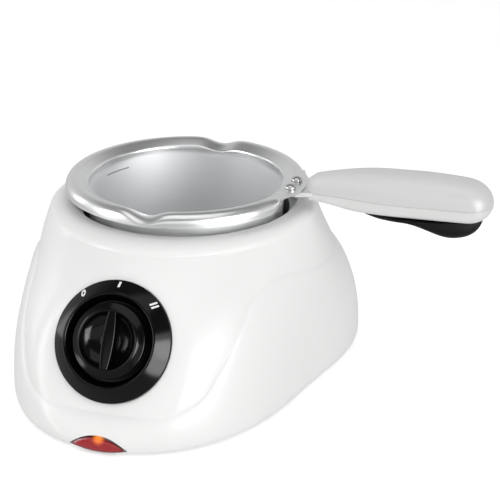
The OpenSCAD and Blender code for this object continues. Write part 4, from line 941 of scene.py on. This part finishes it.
def pot_rule(i, j):
    a = math.tau * i / pot_columns
    r, z = pot_profile[j]
    x, y = r * math.sin(a), -r * math.cos(a)
    if r > 0 and z > spout_from:
        pinch = math.exp(-abs(x / spout_half) ** 2.2)
        z -= spout_drop * pinch * blend((z - spout_from) / (crest_z - spout_from))
        out = spout_out * pinch * blend((r - 52) / 6)
        x, y = x * (1 + out / r), y * (1 + out / r)
    if x > 0 and j >= first_crest_row:
        flat = tongue_z if z > tongue_z else mix(z, tongue_z, blend((r - root_r) / 2))
        z = mix(z, flat, blend((root_half - abs(y)) / root_fade))
    return x, y, z


pot = laid_grid("steel_pot", pot_columns, len(pot_profile) - 1, pot_rule)
close(pot, outwards=False)
print("pot points before the tongue:", len(pot.data.vertices))

# %% [markdown]
# The tongue is drawn as one would by hand: the faces of the roll in front of the handle are deleted, the
# open edge that this leaves is extruded, and each new row is moved out towards the tongue's rounded tip.

# %% Open the roll in front of the handle
slit = math.asin(21.5 / lip_reach)
edge_r = pot_profile[last_crest_row][0] * MM


def turn_of(co):
    return math.atan2(co.y, co.x)


choose(pot, "FACE", lambda f: math.hypot(f.center.x, f.center.y) > edge_r - 1e-5
       and abs(turn_of(f.center)) < slit and f.center.z > 85 * MM)
bpy.ops.mesh.delete(type="FACE")
bpy.ops.object.mode_set(mode="OBJECT")
print("the opening is", round(2 * math.degrees(slit)), "degrees wide")

# %% Draw out the tongue, row by row
tongue_rows, tongue_out = 5, 2.6
shoulder_half, shoulder_wide = 7, 12
nudge, row_near = Vector((MM, 0, 0)), 0.03 * MM


def tongue_r(turn):
    beside = 61 * abs(math.sin(turn)) - shoulder_half
    return lip_reach - 0.2 + tongue_out * (1 - blend(beside / shoulder_wide))


def row_r(turn, share):
    return mix(edge_r / MM, tongue_r(turn), share)


def on_row(edge, share):
    ends = [pot.data.vertices[v].co for v in edge.vertices]
    return all(abs(math.hypot(e.x, e.y) - row_r(turn_of(e), share) * MM) < row_near
               and abs(turn_of(e)) < slit + 0.02 and e.z > 93 * MM for e in ends)


for k in range(tongue_rows):
    choose(pot, "EDGE", lambda edge: on_row(edge, k / tongue_rows))
    bpy.ops.mesh.extrude_edges_move(TRANSFORM_OT_translate={"value": tuple(nudge)})
    bpy.ops.object.mode_set(mode="OBJECT")
    for vertex in pot.data.vertices:
        if vertex.select:
            turn = turn_of(vertex.co - nudge)
            r = row_r(turn, (k + 1) / tongue_rows)
            vertex.co = Vector((r * math.cos(turn), r * math.sin(turn), tongue_z)) * MM
print("tongue tip at", round(max(v.co.x for v in pot.data.vertices) / MM, 2), "mm")

# %% Give the sheet its thickness
turn_sheet(pot, lambda f: f.center.xy.length + f.center.z)
apply_modifier(pot, "SOLIDIFY", thickness=sheet * MM, offset=-1, use_even_offset=True)
hand_in(pot, "pot_unit", "pot_steel", "pot", angle=50)

# %% [markdown]
# A fine line inside the wall says how far the pot may be filled. It is a strip with closed, pointed ends
# that lies on the wall.

# %% Fill line
mark_z, mark_half, mark_steps = 84.0, 0.35, 24
mark_start, mark_end = 148, 168
mark_ring = ((0.03, -1), (0.03, 1), (-0.07, 1), (-0.07, -1), (0.03, -1))
mark_r = mix(floor_r, pot_r, (mark_z - wall_foot) / (wall_top - wall_foot))


def fill_rule(i, j):
    turn = math.radians(mix(mark_start, mark_end, i / mark_steps))
    thin = 0.0 if i in (0, mark_steps) else 1.0
    out, up = mark_ring[j]
    r = mark_r + thin * out
    z = mark_z + thin * mark_half * up
    return r * math.cos(turn), r * math.sin(turn), z


fill_line = laid_grid("fill_line", mark_steps, 4, fill_rule)
close(fill_line)
hand_in(fill_line, "pot_unit", "pot_steel", angle=30, paint="symbol_grey")

# %% [markdown]
# The two rivets that hold the tongue to the bracket have large polished heads. Each is turned from a low
# dome with a small flat edge, and stands where the construction model has its rivet.

# %% Rivets
rivet_low, rivet_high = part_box("handle_rivets")
rivet_x = (rivet_low.x + rivet_high.x) / 2 / MM
rivet_y = rivet_high.y / MM - (rivet_high.x - rivet_low.x) / 2 / MM
head_r, head_h, head_edge, shank_r, under_h = 2.9, 1.9, 0.6, 1.5, 1.4
head_turns = [math.radians(q) for q in range(0, 91, 10)]
foot_z, seat_z = rivet_low.z / MM + under_h, tongue_z + 0.02
rivet_profile = [(head_r * math.sin(t), foot_z - under_h * math.cos(t)) for t in head_turns]
rivet_profile += [(shank_r, foot_z), (shank_r, seat_z), (head_r - 0.35, seat_z)]
rivet_profile += [(head_r * math.cos(t), tongue_z + head_edge + head_h * math.sin(t)) for t in head_turns]
rivets = lathe("rivet_heads", rivet_profile, 48)
close(rivets)
twin = rivets.copy()
twin.data = rivets.data.copy()
bpy.context.scene.collection.objects.link(twin)
rivets.data.transform(Matrix.Translation(Vector((rivet_x, rivet_y, 0)) * MM))
twin.data.transform(Matrix.Translation(Vector((rivet_x, -rivet_y, 0)) * MM))
join(rivets, twin)
hand_in(rivets, "pot_unit", "rivet_steel", "handle_rivets", angle=40)

# %% [markdown]
# ## Handle
# The handle is two mouldings that meet at a parting line: a satin grey upper shell, rounded like the back
# of a spoon, and a white lower shell with a black soft insert under the fingers. The upper shell's grey is
# partly its own and partly painted shade for its top. Each is a grid laid over its outer surface, from the
# neck to the rounded end, and the shells get their wall by thickening.

# %% Handle form
neck_x, end_x, neck_half, wide_half, end_round = 65.6, 155.0, 6.0, 12.4, 12.5
plate_low = roll_c[1] + roll_r * math.cos(math.radians(20)) - sheet - 2
parting_z, rise = plate_low + 1.3, math.radians(1.4)
length = end_x - neck_x
dome_h, low_full, shell_wall = 13.6, 7.4, 1.8
handle_place = Matrix.Translation(Vector((neck_x, 0, parting_z)) * MM) @ Matrix.Rotation(-rise, 4, "Y")


def end_close(x, e):
    t = min(max((x - (length - e)) / e, 0), 1)
    return max(1 - t**2.2, 0) ** (1 / 2.2)


def half_w(x):
    return (neck_half + (wide_half - neck_half) * blend(x / length / 0.52)) * end_close(x, end_round)


def dome(x):
    swell = 0.38 * math.sin(math.pi / 2 * min(x / length / 0.42, 1))
    share = 0.62 + swell - 0.27 * blend((x / length - 0.6) / 0.6)
    nose = 1 - 0.3 * (1 - min(x / 4, 1)) ** 2.2
    return dome_h * share * nose * end_close(x, 1.1 * end_round)


def low_h(x):
    return low_full * (0.58 + 0.42 * blend(x / length / 0.29)) * end_close(x, end_round * 0.95)


def station(i, count):
    return length * (1 - (1 - i / count) ** 1.9)


print("handle from", neck_x, "to", end_x, "mm, parted at", round(parting_z, 1), "mm")

# %% Upper shell
stations, sides = 120, 40


def upper_rule(i, j):
    x, q = station(i, stations), math.pi * j / sides
    nose = (1 - (1 - min(x / 4.5, 1)) ** 2.2) ** (1 / 2.2)
    wide = half_w(x) * (0.45 + 0.55 * nose)
    return x - 1.2 * (1 - nose), wide * math.cos(q), dome(x) * math.sin(q) ** 0.75 + 0.06


upper = laid_grid("handle_top", stations, sides, upper_rule)
turn_sheet(upper, lambda f: -f.center.z)
apply_modifier(upper, "SOLIDIFY", thickness=shell_wall * MM, offset=-1)
upper.data.transform(handle_place)
# The grey finish of the upper shell is partly painted shade.
hand_in(upper, "pot_unit", "handle_grey", "handle_upper_shell", angle=40)

# %% Lower shell
def lower_rule(i, j):
    x, q = station(i, stations), math.pi * j / sides
    c, s = math.cos(q), math.sin(q)
    wide = half_w(x) * math.copysign(abs(c) ** 0.5, c) * (1 - 0.1 * s * s)
    return x, wide, -low_h(x) * s**0.42 - 0.06


lower = laid_grid("handle_bottom", stations, sides, lower_rule)
turn_sheet(lower, lambda f: f.center.z, upwards=False)
apply_modifier(lower, "SOLIDIFY", thickness=shell_wall * MM, offset=-1)
lower.data.transform(handle_place)
hand_in(lower, "pot_unit", "handle_white", "handle_lower_shell", angle=40)

# %% [markdown]
# The soft insert starts as a thin sliver, swells under the fingers and turns up again short of the end.
# Its upper face follows the lower shell, so one closed ring per station is laid round both.

# %% Soft insert
grip_from = length * 0.28
grip_length = length - grip_from - 4.6
grip_sides, grip_stations, peak = 48, 60, 0.76
grip_inset, grip_gap, grip_depth = 1.2, 0.12, 9.6


def grip_fall(t):
    if t < peak:
        return 0.25 * math.sqrt(min(t / 0.18, 1)) + 0.75 * blend((t - 0.38) / (peak - 0.38))
    return math.sqrt(max(1 - ((t - peak) / (1 - peak)) ** 2, 0))


def grip_rule(i, j):
    t = (1 - math.cos(math.pi * i / grip_stations)) / 2
    x, q = grip_from + grip_length * t, math.tau * j / grip_sides
    taper = math.sqrt(math.sin(math.pi * mix(0.015, 0.985, t)))
    w = max((half_w(min(x, length * 0.9985)) - grip_inset) * taper, 0.2)
    if i in (0, grip_stations):
        w = 0.02
    c, s = math.cos(q), math.sin(q)
    top = -low_h(x) - grip_gap
    if s >= 0:
        return x, w * c, top
    return x, w * c, top - 0.3 - grip_depth * grip_fall(t) * (-s) ** 0.6


grip = laid_grid("handle_insert", grip_stations, grip_sides, grip_rule)
close(grip)
grip.data.transform(handle_place)
hand_in(grip, "pot_unit", "grip_rubber", "soft_grip", angle=55)
